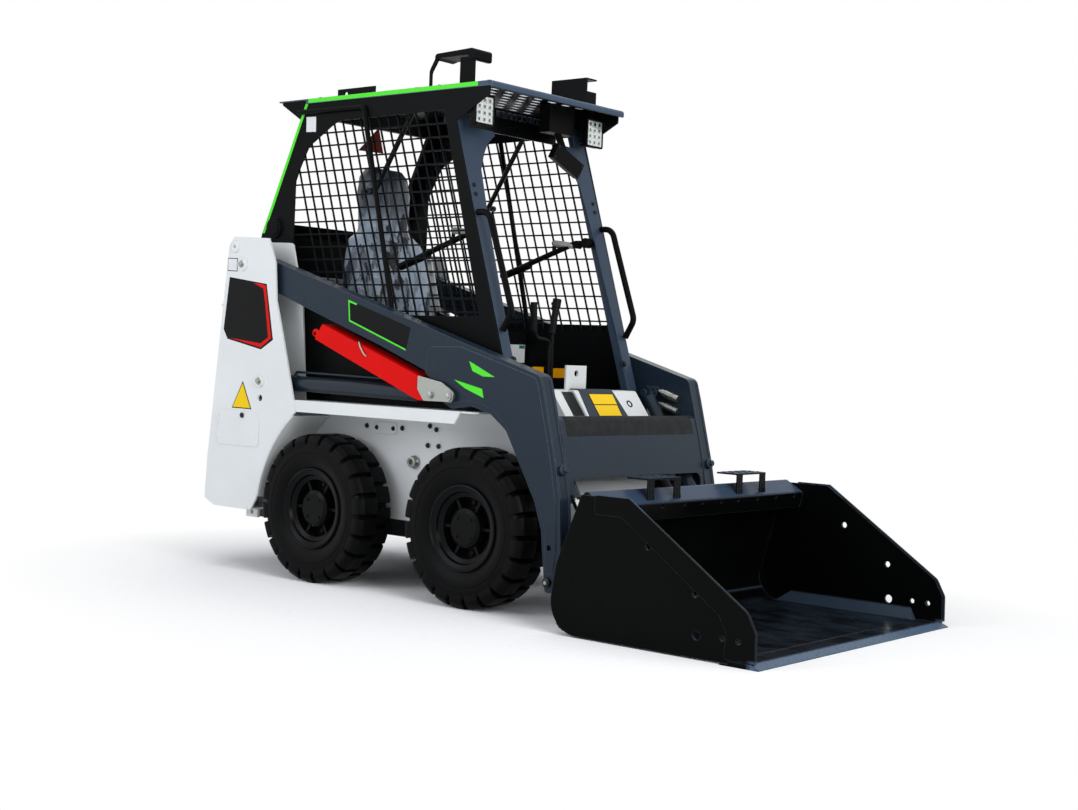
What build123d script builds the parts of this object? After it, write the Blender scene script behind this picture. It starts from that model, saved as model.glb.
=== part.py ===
"""Compact electric skid steer loader with a bucket, modelled in millimetres.

+X points forward, +Y to the machine's left, +Z up. The origin is on the floor,
under the middle of the whole machine with its bucket down.
"""
import os
from math import cos, hypot, pi, sin

from build123d import *

# ---------------------------------------------------------------- driving sizes
# Wheels
WHEELBASE = 790.0
REAR_AXLE_X = -712.0
FRONT_AXLE_X = REAR_AXLE_X + WHEELBASE
TYRE_R = 290.0
TYRE_W = 175.0
TYRE_Y = 430.0           # middle plane of a tyre
TYRE_FACETS = 32         # flats of a tyre's sidewall and bore
LUGS = 22                # shoulder lugs on each side of a tyre
LUG_SHARE = 0.80         # share of a pitch that a lug fills
LUG_DEEP = 28.0          # depth of the slot between two lugs
RIM_R = 156.0            # rim flange
RIM_SEAT_R = 148.0       # bead seat, where tyre and rim meet
HUB_R = 71.0
FLANGE_IN = 74.0         # inner face of the rim flange from the wheel's middle
RUN_GAP = 0.5            # running gap between a turning face and its stub

# Chassis
TUB_Y = 310.0            # outer face of the tub's side walls
TUB_PLATE = 8.0
BELLY_Z = 200.0
DECK_Z = 706.0           # top of the fender deck
DECK_PLATE = 6.0
FENDER_SKIRT = 46.0
SIDE_Y = 505.0           # outer face of towers and fender skirts
TOWER_PLATE = 8.0
TOWER_IN_Y = 405.0       # outer face of the tower's inner plate
REAR_X = -1400.0         # rear face of the bay, where the tailgate closes
HINGE_LUGS = ((318.0, 328.0), (1072.0, 1082.0))  # the tailgate's lugs, bottom and top
HINGE_PIN_R = 5.0
VENT_ROWS = 7            # rows of air slots in the tailgate
VENT_PITCH = 34.0
VENT_FOOT_Z = 470.0
NOSE_X = FRONT_AXLE_X + 272
NOSE_Z = 796.0
NOSE_Y = 255.0
NOSE_BACK_X = FRONT_AXLE_X + 102  # back of the nose, at the foot well's end
NOSE_SLOPE = ((NOSE_X - 88, NOSE_Z), (NOSE_X - 9, 690.0))
WALL_BOSSES = ((96.0, 617.0, 9.0), (290.0, 617.0, 9.0), (436.0, 634.0, 9.0),
               (470.0, 622.0, 9.0), (428.0, 560.0, 9.0), (484.0, 560.0, 9.0),
               (361.0, 492.0, 22.0))  # (x from the rear axle, z, radius)
ARCH_MID = (REAR_AXLE_X + 218, 213.0)  # middle of the rear wheel arch's arc
ARCH_R = 554.0
TIE_BORE = (-1036.0, 704.0)      # tie-down hole in a tower's outer plate
TIE_BORE_R = 13.0

# Cab
CAB_FOOT_Z = DECK_Z + 0.3        # the cab rests on the fender decks
CAB_Y = 389.0
CAB_PLATE = 6.0
ROOF_Z = 1905.0
ROOF_FRONT_X = 46.0
ROOF_REAR_X = -1110.0
ROOF_PLATE = 5.0
ROOF_LIP = 27.0          # depth of the roof's turned-down front edge
HEADER_X = -250.0        # vent header under the roof
STAY_Y = 333.0           # middle plane of a diagonal stay under the roof
POST_TOP = (-158.0, 1822.0)      # front edge of the front posts, top
POST_FOOT = (160.0, 826.0)       # front edge of the front posts, foot
POST_W = 50.0
POST_SHEET = 5.0         # front sheet of a post
POST_DEPTH = 34.0
MESH_PITCH = 50.0
MESH_WIRE = 6.0
SEAT_Z = 880.0           # top of the seat riser
LAP_PIVOT = (-38.0, 1372.0)      # pivot of a restraint arm, on the front post
LAP_Y = 300.0            # middle plane of a restraint arm
LAP_R = 11.0

# Lift arms
ARM_PIVOT = (-1168.0, 1240.0)
ARM_Y = 450.0
ARM_W = 60.0
ARM_PIN_R = 22.0
TIP_PIN = (FRONT_AXLE_X + 382, 140.0)   # bucket pivot at the foot of the arms
TIP_PIN_R = 16.0
LIFT_BASE = (-1039.0, 772.0)
LIFT_EYE = (FRONT_AXLE_X - 93, 757.0)
LIFT_BORE_R = 31.0
LIFT_ROD_R = 17.0
LIFT_PIN_R = 16.0
TILT_BASE = (FRONT_AXLE_X + 160, 790.0)
TILT_EYE = (FRONT_AXLE_X + 457, 325.0)
TILT_Y = 362.0
TILT_BORE_R = 26.0
TILT_ROD_R = 14.0
TILT_PIN_R = 14.0
EYE_W = 26.0
EYE_GAP = 6.0            # side gap between an eye and its ears
POCKET_GAP = 11.0        # side gap between the lift eye and its pocket's walls
PIN_GAP = 0.3            # seat gap round a pin
SEAT_GAP = 0.3           # seat gap between pieces that rest on each other
BRACE_PROUD = 14.0       # how far the arm stop stands proud of the arm's outer face
BRACE_PLATE = 5.0
RIM_RIBS = 6             # ribs between a rim's hub and its bowl

# Bucket
BUCKET_Y = 633.0         # outer face of a side plate
BUCKET_STRIP = 7.0       # edge strip on a side plate's outer face
BUCKET_SIDE = 10.0
BUCKET_SHELL = 8.0
BUCKET_BACK_X = TIP_PIN[0] + 124
BUCKET_TIP_X = BUCKET_BACK_X + 829
BUCKET_FLOOR_Z = 6.0
BLADE_T = 16.0
BLADE_L = 140.0
# Holes in a side plate, (x ahead of the bucket's back, z, radius)
BUCKET_HOLES = ((402.0, 329.0, 11.0), (587.0, 202.0, 11.0), (597.0, 76.0, 15.0),
                (692.0, 80.0, 9.0), (754.0, 79.0, 9.0))
LIP_HOLES_Y = (-560, -430, -300, -170, -60, 60, 170, 300, 430, 560)  # holes in the top lip
LIP_HOLE_R = 7.0

ARM_OUT_Y = ARM_Y + ARM_W / 2
ARM_IN_Y = ARM_Y - ARM_W / 2

SLOT_FACE = Polygon((-24, 0), (-15, -9), (15, -9), (24, 0), (15, 9), (-15, 9), align=None)

nodes = {}


# ---------------------------------------------------------------- plain tools
def block(x0, x1, y0, y1, z0, z1):
    """A box between two corners."""
    solid = Box(x1 - x0, y1 - y0, z1 - z0, align=(Align.MIN, Align.MIN, Align.MIN))
    return Pos(x0, y0, z0) * solid


def outline(corners):
    """A flat face in X and Z from corners of (x, z, radius)."""
    points = [(x, z) for x, z, radius in corners]
    radii = [radius for x, z, radius in corners]
    return make_face(FilletPolyline(*points, radius=radii, close=True))


def plate(corners, y0, y1):
    """An upright plate from y0 to y1, cut to corners of (x, z, radius)."""
    return extrude(Plane.XZ.offset(-y1) * outline(corners), amount=y1 - y0)


def rod_y(centre, radius, y0, y1):
    """A round bar along Y at centre (x, z)."""
    x, z = centre
    disc = Plane.XZ.offset(-y1) * (Pos(x, z) * Circle(radius))
    return extrude(disc, amount=y1 - y0)


def bar(start, end, radius):
    """A round bar between two points."""
    span = Vector(*end) - Vector(*start)
    return extrude(Plane(origin=start, z_dir=span) * Circle(radius), amount=span.length)


def tube(points, bend, radius):
    """A bent round bar along points, with one bend radius."""
    path = FilletPolyline(*points, radius=bend)
    start = Plane(origin=path @ 0, z_dir=path % 0)
    return sweep(start * Circle(radius), path=path)


def both_sides(solid):
    """The solid and its mirror image across the machine's middle."""
    return Compound(children=[solid, mirror(solid, about=Plane.XZ)])


def left_of(solid):
    """The solid's mirror image across the machine's middle."""
    return mirror(solid, about=Plane.XZ)


def along(start, end, distance):
    """The point at a distance from start towards end, in X and Z."""
    length = hypot(end[0] - start[0], end[1] - start[1])
    share = distance / length
    return (start[0] + (end[0] - start[0]) * share, start[1] + (end[1] - start[1]) * share)


# ---------------------------------------------------------------- wheels
def ring(radius, y):
    """A many-sided flat face square to the Y axis at y."""
    return Plane.XZ.offset(-y) * RegularPolygon(radius, TYRE_FACETS)


def lug_face(top, y, turn):
    """A toothed flat face square to the Y axis: lug tops at one radius, slots below them."""
    points = []
    for step in range(LUGS):
        for share, r in ((0, top), (LUG_SHARE, top), (LUG_SHARE, top - LUG_DEEP),
                         (1, top - LUG_DEEP)):
            angle = 2 * pi * (step + share + turn) / LUGS
            points.append((r * cos(angle), r * sin(angle)))
    return Plane.XZ.offset(-y) * make_face(Polyline(*points, close=True))


def tyre_half(turn):
    """The half of a tyre on +Y: lugs, their tapered shoulder and the dished sidewall."""
    side = TYRE_W / 2
    edge = side - 15
    seat_r = RIM_SEAT_R + SEAT_GAP
    half = extrude(lug_face(TYRE_R, 0, turn), amount=-edge)
    half += loft([lug_face(TYRE_R, edge, turn), lug_face(TYRE_R - 19, side - 1.5, turn)], ruled=True)
    half += loft([ring(TYRE_R - 46, side - 2), ring(TYRE_R - 85, side)], ruled=True)
    half -= loft([ring(RIM_R - 7, FLANGE_IN - SEAT_GAP - 3), ring(TYRE_R - 85, side + 0.1)],
                 ruled=True)
    bore = Plane.XZ * RegularPolygon(seat_r, TYRE_FACETS, major_radius=False)
    return half - extrude(bore, amount=-side - 1)


def tyre():
    """Solid tyre about the Y axis, with staggered shoulder lugs."""
    return tyre_half(0) + left_of(tyre_half(0.5))


def rim():
    """Dished rim with its stepped bowl, ribbed disc and raised hub cap, outboard side at -Y."""
    profile = [(0, -67.5), (58, -67.5), (HUB_R, -60), (HUB_R, -6), (110, -6), (112, -52),
               (127, -60), (132, -71), (147, -76), (151, -81), (RIM_R, -79), (RIM_R, -FLANGE_IN),
               (RIM_SEAT_R, -FLANGE_IN), (RIM_SEAT_R, FLANGE_IN), (RIM_R, FLANGE_IN), (RIM_R, 80),
               (140, 80), (122, 12), (60, 8), (60, 24), (0, 24)]
    solid = revolve(make_face(Polyline(*profile, close=True)), axis=Axis.Y)
    rib = block(HUB_R - 3, 114, -44, -5, -5, 5)
    for step in range(RIM_RIBS):
        solid += Rot(0, 360 * step / RIM_RIBS, 0) * rib
    return solid


def make_wheels():
    """Four wheels: a tyre and a rim each."""
    for row, x in (("front", FRONT_AXLE_X), ("rear", REAR_AXLE_X)):
        for side, y in (("right", -TYRE_Y), ("left", TYRE_Y)):
            for name, solid in (("tyre", tyre()), ("rim", rim())):
                if side == "left":
                    solid = left_of(solid)
                nodes[f"{name}_{row}_{side}"] = Pos(x, y, TYRE_R) * solid


def axle_stubs():
    """The four stub housings that carry the wheels, on the tub's walls."""
    end = TYRE_Y - 24 - RUN_GAP
    stubs = []
    for x in (FRONT_AXLE_X, REAR_AXLE_X):
        housing = rod_y((x, TYRE_R), 52, -end, -TUB_Y)
        flange = rod_y((x, TYRE_R), 85, -TUB_Y - 14, -TUB_Y)
        stub = housing + flange
        stubs += [stub, left_of(stub)]
    return Compound(children=stubs)


# ---------------------------------------------------------------- chassis
def chassis_tub():
    """Welded tub: side walls, belly and closed front, with the narrower nose ahead of it."""
    end = REAR_X + 20
    top = DECK_Z - DECK_PLATE
    inner_y = TUB_Y - TUB_PLATE
    hull = plate([(end, top, 0), (end, BELLY_Z + 60, 0), (end + 100, BELLY_Z, 0),
                  (NOSE_X - 200, BELLY_Z, 0), (NOSE_BACK_X, 228, 0), (NOSE_BACK_X, top, 0)],
                 -TUB_Y, TUB_Y)
    hull -= plate([(REAR_X, top + 200, 0), (REAR_X, BELLY_Z + 60 + TUB_PLATE, 0),
                   (end, BELLY_Z + 60 + TUB_PLATE, 0), (end + 100, BELLY_Z + TUB_PLATE, 0),
                   (NOSE_X - 203, BELLY_Z + TUB_PLATE, 0), (NOSE_BACK_X - TUB_PLATE, 236, 0),
                   (NOSE_BACK_X - TUB_PLATE, top + 200, 0)], -inner_y, inner_y)
    crest, toe = NOSE_SLOPE
    nose = plate([(NOSE_BACK_X, 228, 0), (NOSE_X, 390, 30), (NOSE_X, 690, 0), (toe[0], toe[1], 0),
                  (crest[0], crest[1], 16), (NOSE_BACK_X, NOSE_Z, 0)], -NOSE_Y, NOSE_Y)
    t = TUB_PLATE
    nose -= plate([(NOSE_BACK_X + t, 244, 0), (NOSE_X - t, 396, 22), (NOSE_X - t, 686, 0),
                   (toe[0] - t, toe[1] - 3, 0), (crest[0] - 4, crest[1] - t, 8),
                   (NOSE_BACK_X + t, NOSE_Z - t, 0)], -NOSE_Y + t, NOSE_Y - t)
    nose -= block(crest[0] - 26, toe[0] + 12, -207, -128, toe[1] + 14, crest[1] + 1)
    tab = block(NOSE_X - 139, NOSE_X - 131, -120, 0, NOSE_Z - 1, NOSE_Z + 90)
    tab -= Pos(NOSE_X - 135, -60, NOSE_Z + 60) * Rot(0, 90, 0) * Cylinder(12, 20)
    tab += block(NOSE_X - 165, NOSE_X - 131, -8, 0, NOSE_Z + 10, NOSE_Z + 90)
    for x, z, radius in WALL_BOSSES:
        hull += both_sides(rod_y((REAR_AXLE_X + x, z), radius, -TUB_Y - 5, 1 - TUB_Y))
    pad = plate([(REAR_AXLE_X + 132, 590, 10), (REAR_AXLE_X + 258, 590, 10),
                 (REAR_AXLE_X + 258, 636, 10), (REAR_AXLE_X + 132, 636, 10)],
                -TUB_Y - 4, 1 - TUB_Y)
    return hull + pad + left_of(pad) + nose + tab


def fender():
    """Right mudguard: a flat deck with a turned-down skirt."""
    rear = REAR_AXLE_X - 126
    front = FRONT_AXLE_X - 29
    deck = block(rear, front + 60, -SIDE_Y + TOWER_PLATE, -TUB_Y, DECK_Z - DECK_PLATE, DECK_Z)
    skirt_corners = [(rear + 15, DECK_Z - FENDER_SKIRT, 0), (front - 28, DECK_Z - FENDER_SKIRT, 0),
                     (front, DECK_Z, 0), (rear, DECK_Z, 0)]
    skirt = plate(skirt_corners, -SIDE_Y, -SIDE_Y + TOWER_PLATE)
    return deck + skirt


def arch_point(angle, inset=0.0):
    """The point of the rear wheel arch's arc at an angle in degrees."""
    r = ARCH_R - inset
    return (ARCH_MID[0] + r * cos(angle * pi / 180), ARCH_MID[1] + r * sin(angle * pi / 180))


def arch_liner():
    """Right splash sheet that lines the rear wheel arch, between tower and tub."""
    first, last = 170.0, 129.0
    mid = (first + last) / 2
    outer = ThreePointArc(arch_point(first), arch_point(mid), arch_point(last))
    inner = ThreePointArc(arch_point(last, 5), arch_point(mid, 5), arch_point(first, 5))
    ends = Line(arch_point(last), arch_point(last, 5)) + Line(arch_point(first, 5), arch_point(first))
    face = make_face(outer + inner + ends)
    return extrude(Plane.XZ.offset(SIDE_Y - 1) * face, amount=-(SIDE_Y - 1 - TUB_Y - SEAT_GAP))


def tower():
    """Right tower: a channel of outer plate, rear web, cap and floor, and its inner plate."""
    arch_start = arch_point(171)
    arch_end = arch_point(126.5)
    front_edge = [(-838, DECK_Z), (-908, 940), (-958, 1096), (-972, 1247), (-1014, 1342)]
    rear_edge = [(-1226, 1352), (-1256, 1318), (-1352, 453), (-1362, 279), (-1300, 252),
                 (-1074, 252)]
    path = Polyline(*([arch_end] + front_edge + rear_edge + [arch_start]))
    arch = ThreePointArc(arch_start, arch_point(149), arch_end)
    y_out = -SIDE_Y + TOWER_PLATE
    y_in = -TOWER_IN_Y
    channel = extrude(Plane.XZ.offset(-y_in) * make_face(path + arch), amount=SIDE_Y + y_in)
    bay = [(-1344, 453, 0), (-1248, 1315, 0), (-1222, 1343, 0), (-1178, 1341, 0), (-1178, 1400, 0),
           (-700, 1400, 0), (-700, 260, 0), (-1298, 260, 0), (-1353, 284, 0)]
    channel -= plate(bay, y_out, y_in + 1)
    inner_corners = [(-880, DECK_Z, 0), (-915, 1090, 0), (-985, 1330, 20), (-1230, 1338, 20),
                     (REAR_X, 1120, 0), (REAR_X, 262, 0), (REAR_X + 120, BELLY_Z + 58, 0),
                     (-1070, BELLY_Z + 58, 0), (-1070, DECK_Z, 0)]
    solid = channel + plate(inner_corners, y_in, y_in + TOWER_PLATE)
    solid += rod_y(ARM_PIVOT, ARM_PIN_R, y_out - 4, y_in + 4)
    solid += rod_y(LIFT_BASE, LIFT_PIN_R, y_out - 4, y_in + 4)
    for centre, radius in (((-1216, 1311), 24), (ARM_PIVOT, 28), (LIFT_BASE, 26)):
        solid += rod_y(centre, radius, -SIDE_Y - 6, y_out - 2)
    solid += plate([(-1278, 650, 22), (-1034, 646, 22), (-1034, 506, 22), (-1290, 506, 22)],
                   -SIDE_Y - 3, y_out - 2)
    solid -= rod_y(TIE_BORE, TIE_BORE_R, -SIDE_Y - 1, y_out + 1)
    solid += rod_y((-1136, 630), 8, -SIDE_Y - 7, y_out - 2)
    hook = block(-1182, -1112, -432, -420, 214, 256)
    solid += hook - rod_y((-1147, 234), 9, -440, -410)
    return solid + arch_liner()


def towers():
    """Both towers, with the tailgate's two hinge lugs on the right one."""
    solid = tower()
    left = left_of(solid)
    axis = (REAR_X - 10, -TOWER_IN_Y + TOWER_PLATE + 14)
    for low, high in HINGE_LUGS:
        solid += block(REAR_X - 19, REAR_X + 3, -TOWER_IN_Y + 2, axis[1] + 9, low, high)
    solid += rod_y_upright(axis, HINGE_PIN_R, HINGE_LUGS[0][0] + 2, HINGE_LUGS[0][1] + 16)
    solid += rod_y_upright(axis, HINGE_PIN_R, HINGE_LUGS[1][0] - 16, HINGE_LUGS[1][1] - 2)
    return Compound(children=[solid, left])


def rear_hood():
    """Sloping cover over the rear bay, between the towers."""
    half = TOWER_IN_Y - TOWER_PLATE
    corners = [(REAR_X + 10, 1112, 0), (-1236, 1205, 30), (-1150, 1212, 0), (-1150, 1206, 0),
               (-1236, 1199, 24), (REAR_X + 14, 1106, 0)]
    return plate(corners, -half, half)


def battery_block():
    """Traction battery, a plain block on the tub's belly."""
    return block(-1275, -925, -280, 280, BELLY_Z + TUB_PLATE + SEAT_GAP, 760)


# ---------------------------------------------------------------- cab
def post_x(z, inset=0.0):
    """X of the front posts' front edge at height z, less an inset."""
    share = (z - POST_FOOT[1]) / (POST_TOP[1] - POST_FOOT[1])
    return POST_FOOT[0] + (POST_TOP[0] - POST_FOOT[0]) * share - inset


def rear_x(z):
    """X of the cab's rear edge at height z."""
    return -1194 + (z - 1372) * 0.464


def cab_side():
    """Right cab side: a plate with one large rounded opening and a tab behind the roof."""
    front = ROOF_FRONT_X - 18
    top = ROOF_Z - ROOF_PLATE
    body = [(-908, CAB_FOOT_Z, 0), (-930, 1100, 0), (-1150, 1217, 0), (-1236, 1217, 0),
            (-1194, 1372, 0), (rear_x(1825), 1825, 0), (ROOF_REAR_X, top, 6), (front, top, 0),
            (front - 2, ROOF_Z - 50, 0), (post_x(1770) + 8, 1770, 0),
            (post_x(CAB_FOOT_Z), CAB_FOOT_Z, 0)]
    opening = [(-1005, 1120, 60), (-1002, 1590, 110), (-930, 1715, 60), (-770, 1808, 150),
               (post_x(1812, 40), 1812, 12), (post_x(1050, 70), 1050, 8), (-800, 1050, 40)]
    panel = plate(body, -CAB_Y, -CAB_Y + CAB_PLATE)
    panel -= plate(opening, -CAB_Y - 1, -CAB_Y + CAB_PLATE + 1)
    panel += rod_y((-1115, 1395), 42, -CAB_Y - 10, -CAB_Y + 1)
    panel += rod_y((-1115, 1395), 30, -CAB_Y - 14, -CAB_Y + 1)
    y = -CAB_Y - 9
    rail = tube([(-985, y, 1853), (-612, y, 1851), (-414, y, 1050)], 16, 10)
    return panel + rail


def cab_mesh():
    """Right side's welded mesh: bars level and bars along the post's slope."""
    wires = []
    y = -CAB_Y + CAB_PLATE
    level_y = y + MESH_WIRE
    foot_z, top_z = 1030.0, 1820.0
    for step in range(15):
        z = 1065 + step * MESH_PITCH
        rear = max(-1015, rear_x(z) + 26)
        wires.append(block(rear, post_x(z, POST_DEPTH + 4), y, level_y, z - 3, z + 3))
    start = level_y + PIN_GAP
    slope = (post_x(top_z) - post_x(foot_z)) / (top_z - foot_z)
    edge = 0.464
    for step in range(17):
        foot = post_x(foot_z, 100) - step * MESH_PITCH
        bottom = foot_z if foot > -780 else 1110
        top = min(1815, (foot - foot_z * slope + 1794.6) / (edge - slope))
        low_x = foot + (bottom - foot_z) * slope
        high_x = foot + (top - foot_z) * slope
        wires.append(plate([(low_x - 3, bottom, 0), (low_x + 3, bottom, 0), (high_x + 3, top, 0),
                            (high_x - 3, top, 0)], start, start + MESH_WIRE))
    return wires


def cab_roof():
    """Roof sheet with its slotted window, front lip, flanges, vent header and diagonal stays."""
    low = ROOF_Z - ROOF_PLATE
    flange_y = CAB_Y + SEAT_GAP
    front = ROOF_FRONT_X
    roof = block(ROOF_REAR_X, front - 20, -flange_y - 4, flange_y + 4, low, ROOF_Z)
    lip = plate([(front - 26, ROOF_Z, 0), (front, ROOF_Z, 14), (front, ROOF_Z - ROOF_LIP, 6),
                 (front - 7, ROOF_Z - ROOF_LIP, 0), (front - 7, low, 8), (front - 26, low, 0)],
                -flange_y - 8, flange_y + 8)
    flange = block(-950, front - 8, -flange_y - 4, -flange_y, ROOF_Z - 19, low + 1)
    roof += lip + flange + left_of(flange)
    slots = []
    for row in range(7):
        shift = 42.5 * (row % 2)
        for place in range(7 - row % 2):
            centre = Pos(-340 + 45 * row, -255 + 85 * place + shift, low)
            slots.append(centre * extrude(Rot(0, 0, 90) * SLOT_FACE, amount=40, both=True))
    roof -= slots
    half = CAB_Y - CAB_PLATE - POST_W - 3
    header = block(HEADER_X, HEADER_X + 6, -half, half, 1775, 1874)
    for step in range(10):
        y = -40 + 32 * step
        header -= block(HEADER_X - 1, HEADER_X + 7, y, y + 24, 1841, 1864)
    hanger = block(HEADER_X, HEADER_X + 6, -half, -half + 40, 1870, low + 1)
    stay = bar((-366, -STAY_Y, low + 1), (-600, -STAY_Y, 1530), 10)
    stay += rod_y((-600, 1530), 12, -CAB_Y + CAB_PLATE + 2 * MESH_WIRE + 2 * PIN_GAP, -STAY_Y + 5)
    return roof + header + hanger + left_of(hanger) + stay + left_of(stay)


def cab_front_posts():
    """Right inclined front post: a box with a front sheet that widens into a gusset."""
    foot, top = DECK_Z + 9.3, 1838.0
    inner = CAB_Y - CAB_PLATE
    post = plate([(post_x(foot), foot, 0), (post_x(top), top, 0),
                  (post_x(top, POST_DEPTH), top, 0), (post_x(foot, POST_DEPTH), foot, 0)],
                 -inner, -inner + POST_W)
    slab = plate([(post_x(foot, -POST_SHEET), foot, 0), (post_x(top, -POST_SHEET), top, 0),
                  (post_x(top), top, 0), (post_x(foot), foot, 0)], -inner, inner)
    shape = [(-inner, foot), (-335, foot), (-333, 970), (-317, 1370), (-296, 1600), (-262, 1660),
             (-228, 1705), (-177, 1741), (-182, 1756), (-318, 1756), (-318, top), (-inner, top)]
    cutter = extrude(Plane.YZ * make_face(Polyline(*shape, close=True)), amount=400, both=True)
    return post + (slab & cutter)


def cab_rear_frame():
    """Rear cab wall: two posts and bars round an open window."""
    inner = CAB_Y - CAB_PLATE
    top = ROOF_Z - ROOF_PLATE - SEAT_GAP
    corners = [(-1190, 1372, 0), (-945, top, 0), (-925, top, 0), (-1170, 1372, 0)]
    frame = plate(corners, -inner, inner)
    window = plate([(-1300, 1420, 0), (-1300, 1840, 0), (-800, 1840, 0), (-800, 1420, 0)],
                   -inner + 60, inner - 60)
    low = block(-1190, -1170, -inner, inner, 1213, 1372)
    return (frame - window) + low


def cab_floor():
    """Seat riser with the cab floor in front of it."""
    inner = CAB_Y - CAB_PLATE
    riser = [(-900, CAB_FOOT_Z, 0), (-900, SEAT_Z, 0), (-330, SEAT_Z, 20), (-300, CAB_FOOT_Z, 0)]
    solid = plate(riser, -inner, inner)
    return solid + block(-302, NOSE_BACK_X - 2, -inner, inner, CAB_FOOT_Z, DECK_Z + 9)


def seat_cushion():
    """Seat cushion, a plain soft block."""
    corners = [(-804, SEAT_Z + SEAT_GAP, 20), (-340, SEAT_Z + SEAT_GAP, 40), (-340, SEAT_Z + 120, 50),
               (-700, SEAT_Z + 110, 0), (-800, SEAT_Z + 88, 20)]
    return plate(corners, -235, 235)


def seat_back():
    """Seat backrest with its headrest, leaning back."""
    corners = [(-950, SEAT_Z + SEAT_GAP, 30), (-804.3, SEAT_Z + SEAT_GAP, 20),
               (-804.3, SEAT_Z + 96, 10), (-715, 1050, 60),
               (-760, 1300, 60), (-830, 1480, 20), (-960, 1480, 20)]
    head = [(-960, 1480, 0), (-850, 1480, 0), (-845, 1600, 40), (-870, 1690, 40), (-950, 1690, 40)]
    return plate(corners, -225, 225) + plate(head, -140, 140)


def control_levers():
    """Two control levers that rise from one mount at the cab's front, and their side boxes."""
    mount = block(-35, 35, 5, 95, DECK_Z + 9.3, 760)
    right = tube([(0, 38, 755), (0, 42, 975), (0, -40, 985), (0, -55, 1035)], 22, 8)
    left = tube([(0, 62, 755), (0, 56, 960), (0, 60, 1035)], 60, 8)
    right += bar((0, -54, 1008), (0, -60, 1120), 13)
    left += bar((0, 56, 1004), (0, 78, 1130), 13) + bar((0, 74, 1106), (0, 80, 1138), 17)
    box = block(-760, -400, -375, -262, SEAT_Z + SEAT_GAP, 1010)
    return Compound(children=[mount + right + left, box, left_of(box)])


def overhead_console():
    """Black control box and its tilted screen under the roof in the front left corner."""
    box = block(-135, -80, 90, 240, 1790, ROOF_Z - ROOF_PLATE - SEAT_GAP)
    screen = Pos(-60, 175, 1684) * Rot(0, 12, 0) * Rot(-20, 0, 0) * Box(26, 190, 62)
    neck = bar((-105, 165, 1800), (-64, 175, 1700), 14)
    return box + neck + screen


def roof_lamps():
    """Right square work lamp: a finned housing with a stem and a bezel round its lens."""
    x, y, z = -45.0, -331.0, 1811.0
    lamp = Pos(x - 22, y, z) * Box(34, 96, 104)
    for step in range(6):
        lamp -= block(x - 40, x - 26, y - 49, y + 49, z - 46 + 17 * step, z - 38 + 17 * step)
    rim_face = Plane.YZ.offset(x - 6) * (Pos(y, z) * RectangleRounded(104, 114, 9))
    lens = Plane.YZ.offset(x - 1) * (Pos(y, z) * RectangleRounded(92, 102, 6))
    lamp += extrude(rim_face, amount=8) - extrude(lens, amount=9)
    stem = block(x - 32, x - 14, y - 10, y + 10, z + 50, ROOF_Z - ROOF_PLATE - SEAT_GAP)
    return lamp + stem


def roof_brackets():
    """Brackets that stand on the roof: a lamp bar on two legs, an angle and a channel."""
    z = ROOF_Z + SEAT_GAP
    x = REAR_AXLE_X + 66
    legs = plate([(x, z, 0), (x, z + 150, 30), (x + 40, z + 214, 20), (x + 62, z + 214, 0),
                  (x + 12, z + 140, 20), (x + 12, z, 0)], -6, 2)
    legs += plate([(x + 150, z, 0), (x + 150, z + 60, 0), (x + 168, z + 78, 0), (x + 168, z + 190, 0),
                   (x + 245, z + 190, 0), (x + 245, z, 0)], -6, 2)
    hood = plate([(x + 34, z + 190, 0), (x + 34, z + 214, 14), (x + 246, z + 222, 14),
                  (x + 246, z + 176, 8), (x + 226, z + 176, 0), (x + 216, z + 196, 20),
                  (x + 60, z + 196, 0)], -12, 96)
    angle = block(-908, -695, -262, -256, z, z + 54) + block(-908, -695, -262, -200, z, z + 5)
    angle -= Pos(-860, -259, z + 32) * Rot(90, 0, 0) * Cylinder(10, 20)
    high = block(-200, -22, 236, 242, z, z + 112) + block(-200, -22, 236, 300, z + 106, z + 112)
    high += block(-200, -194, 236, 300, z, z + 100) + block(-28, -22, 236, 300, z, z + 60)
    return Compound(children=[legs + hood, angle, high])


def grab_handles():
    """Bent tube handles on the front posts."""
    y = -370
    front = POST_SHEET + 4.2
    points = [(post_x(1432, -front), y, 1432), (30, y, 1432), (158, y, 1072),
              (post_x(1003, -front - 6), y, 1003)]
    return both_sides(tube(points, 45, 12))


def front_cover():
    """Foot cover sheet over the nose's crest and slope, widening downward."""
    crest, toe = NOSE_SLOPE
    run = hypot(toe[0] - crest[0], toe[1] - crest[1])
    ux, uz = (crest[1] - toe[1]) / run, (toe[0] - crest[0]) / run
    low, high = SEAT_GAP, 5.0
    sheet = plate([(crest[0] - 40, NOSE_Z + low, 0), (crest[0] - 40, NOSE_Z + high, 0),
                   (crest[0] + 2, NOSE_Z + high, 12), (toe[0] + ux * high, toe[1] + uz * high, 0),
                   (toe[0] + ux * low, toe[1] + uz * low, 0), (crest[0], NOSE_Z + low, 0)],
                  -117, 117)
    shape = [(-97, NOSE_Z + 20), (-100, NOSE_Z), (-117, toe[1]), (117, toe[1]), (100, NOSE_Z),
             (97, NOSE_Z + 20)]
    cutter = extrude(Plane.YZ * make_face(Polyline(*shape, close=True)), amount=600, both=True)
    return sheet & cutter


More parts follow.
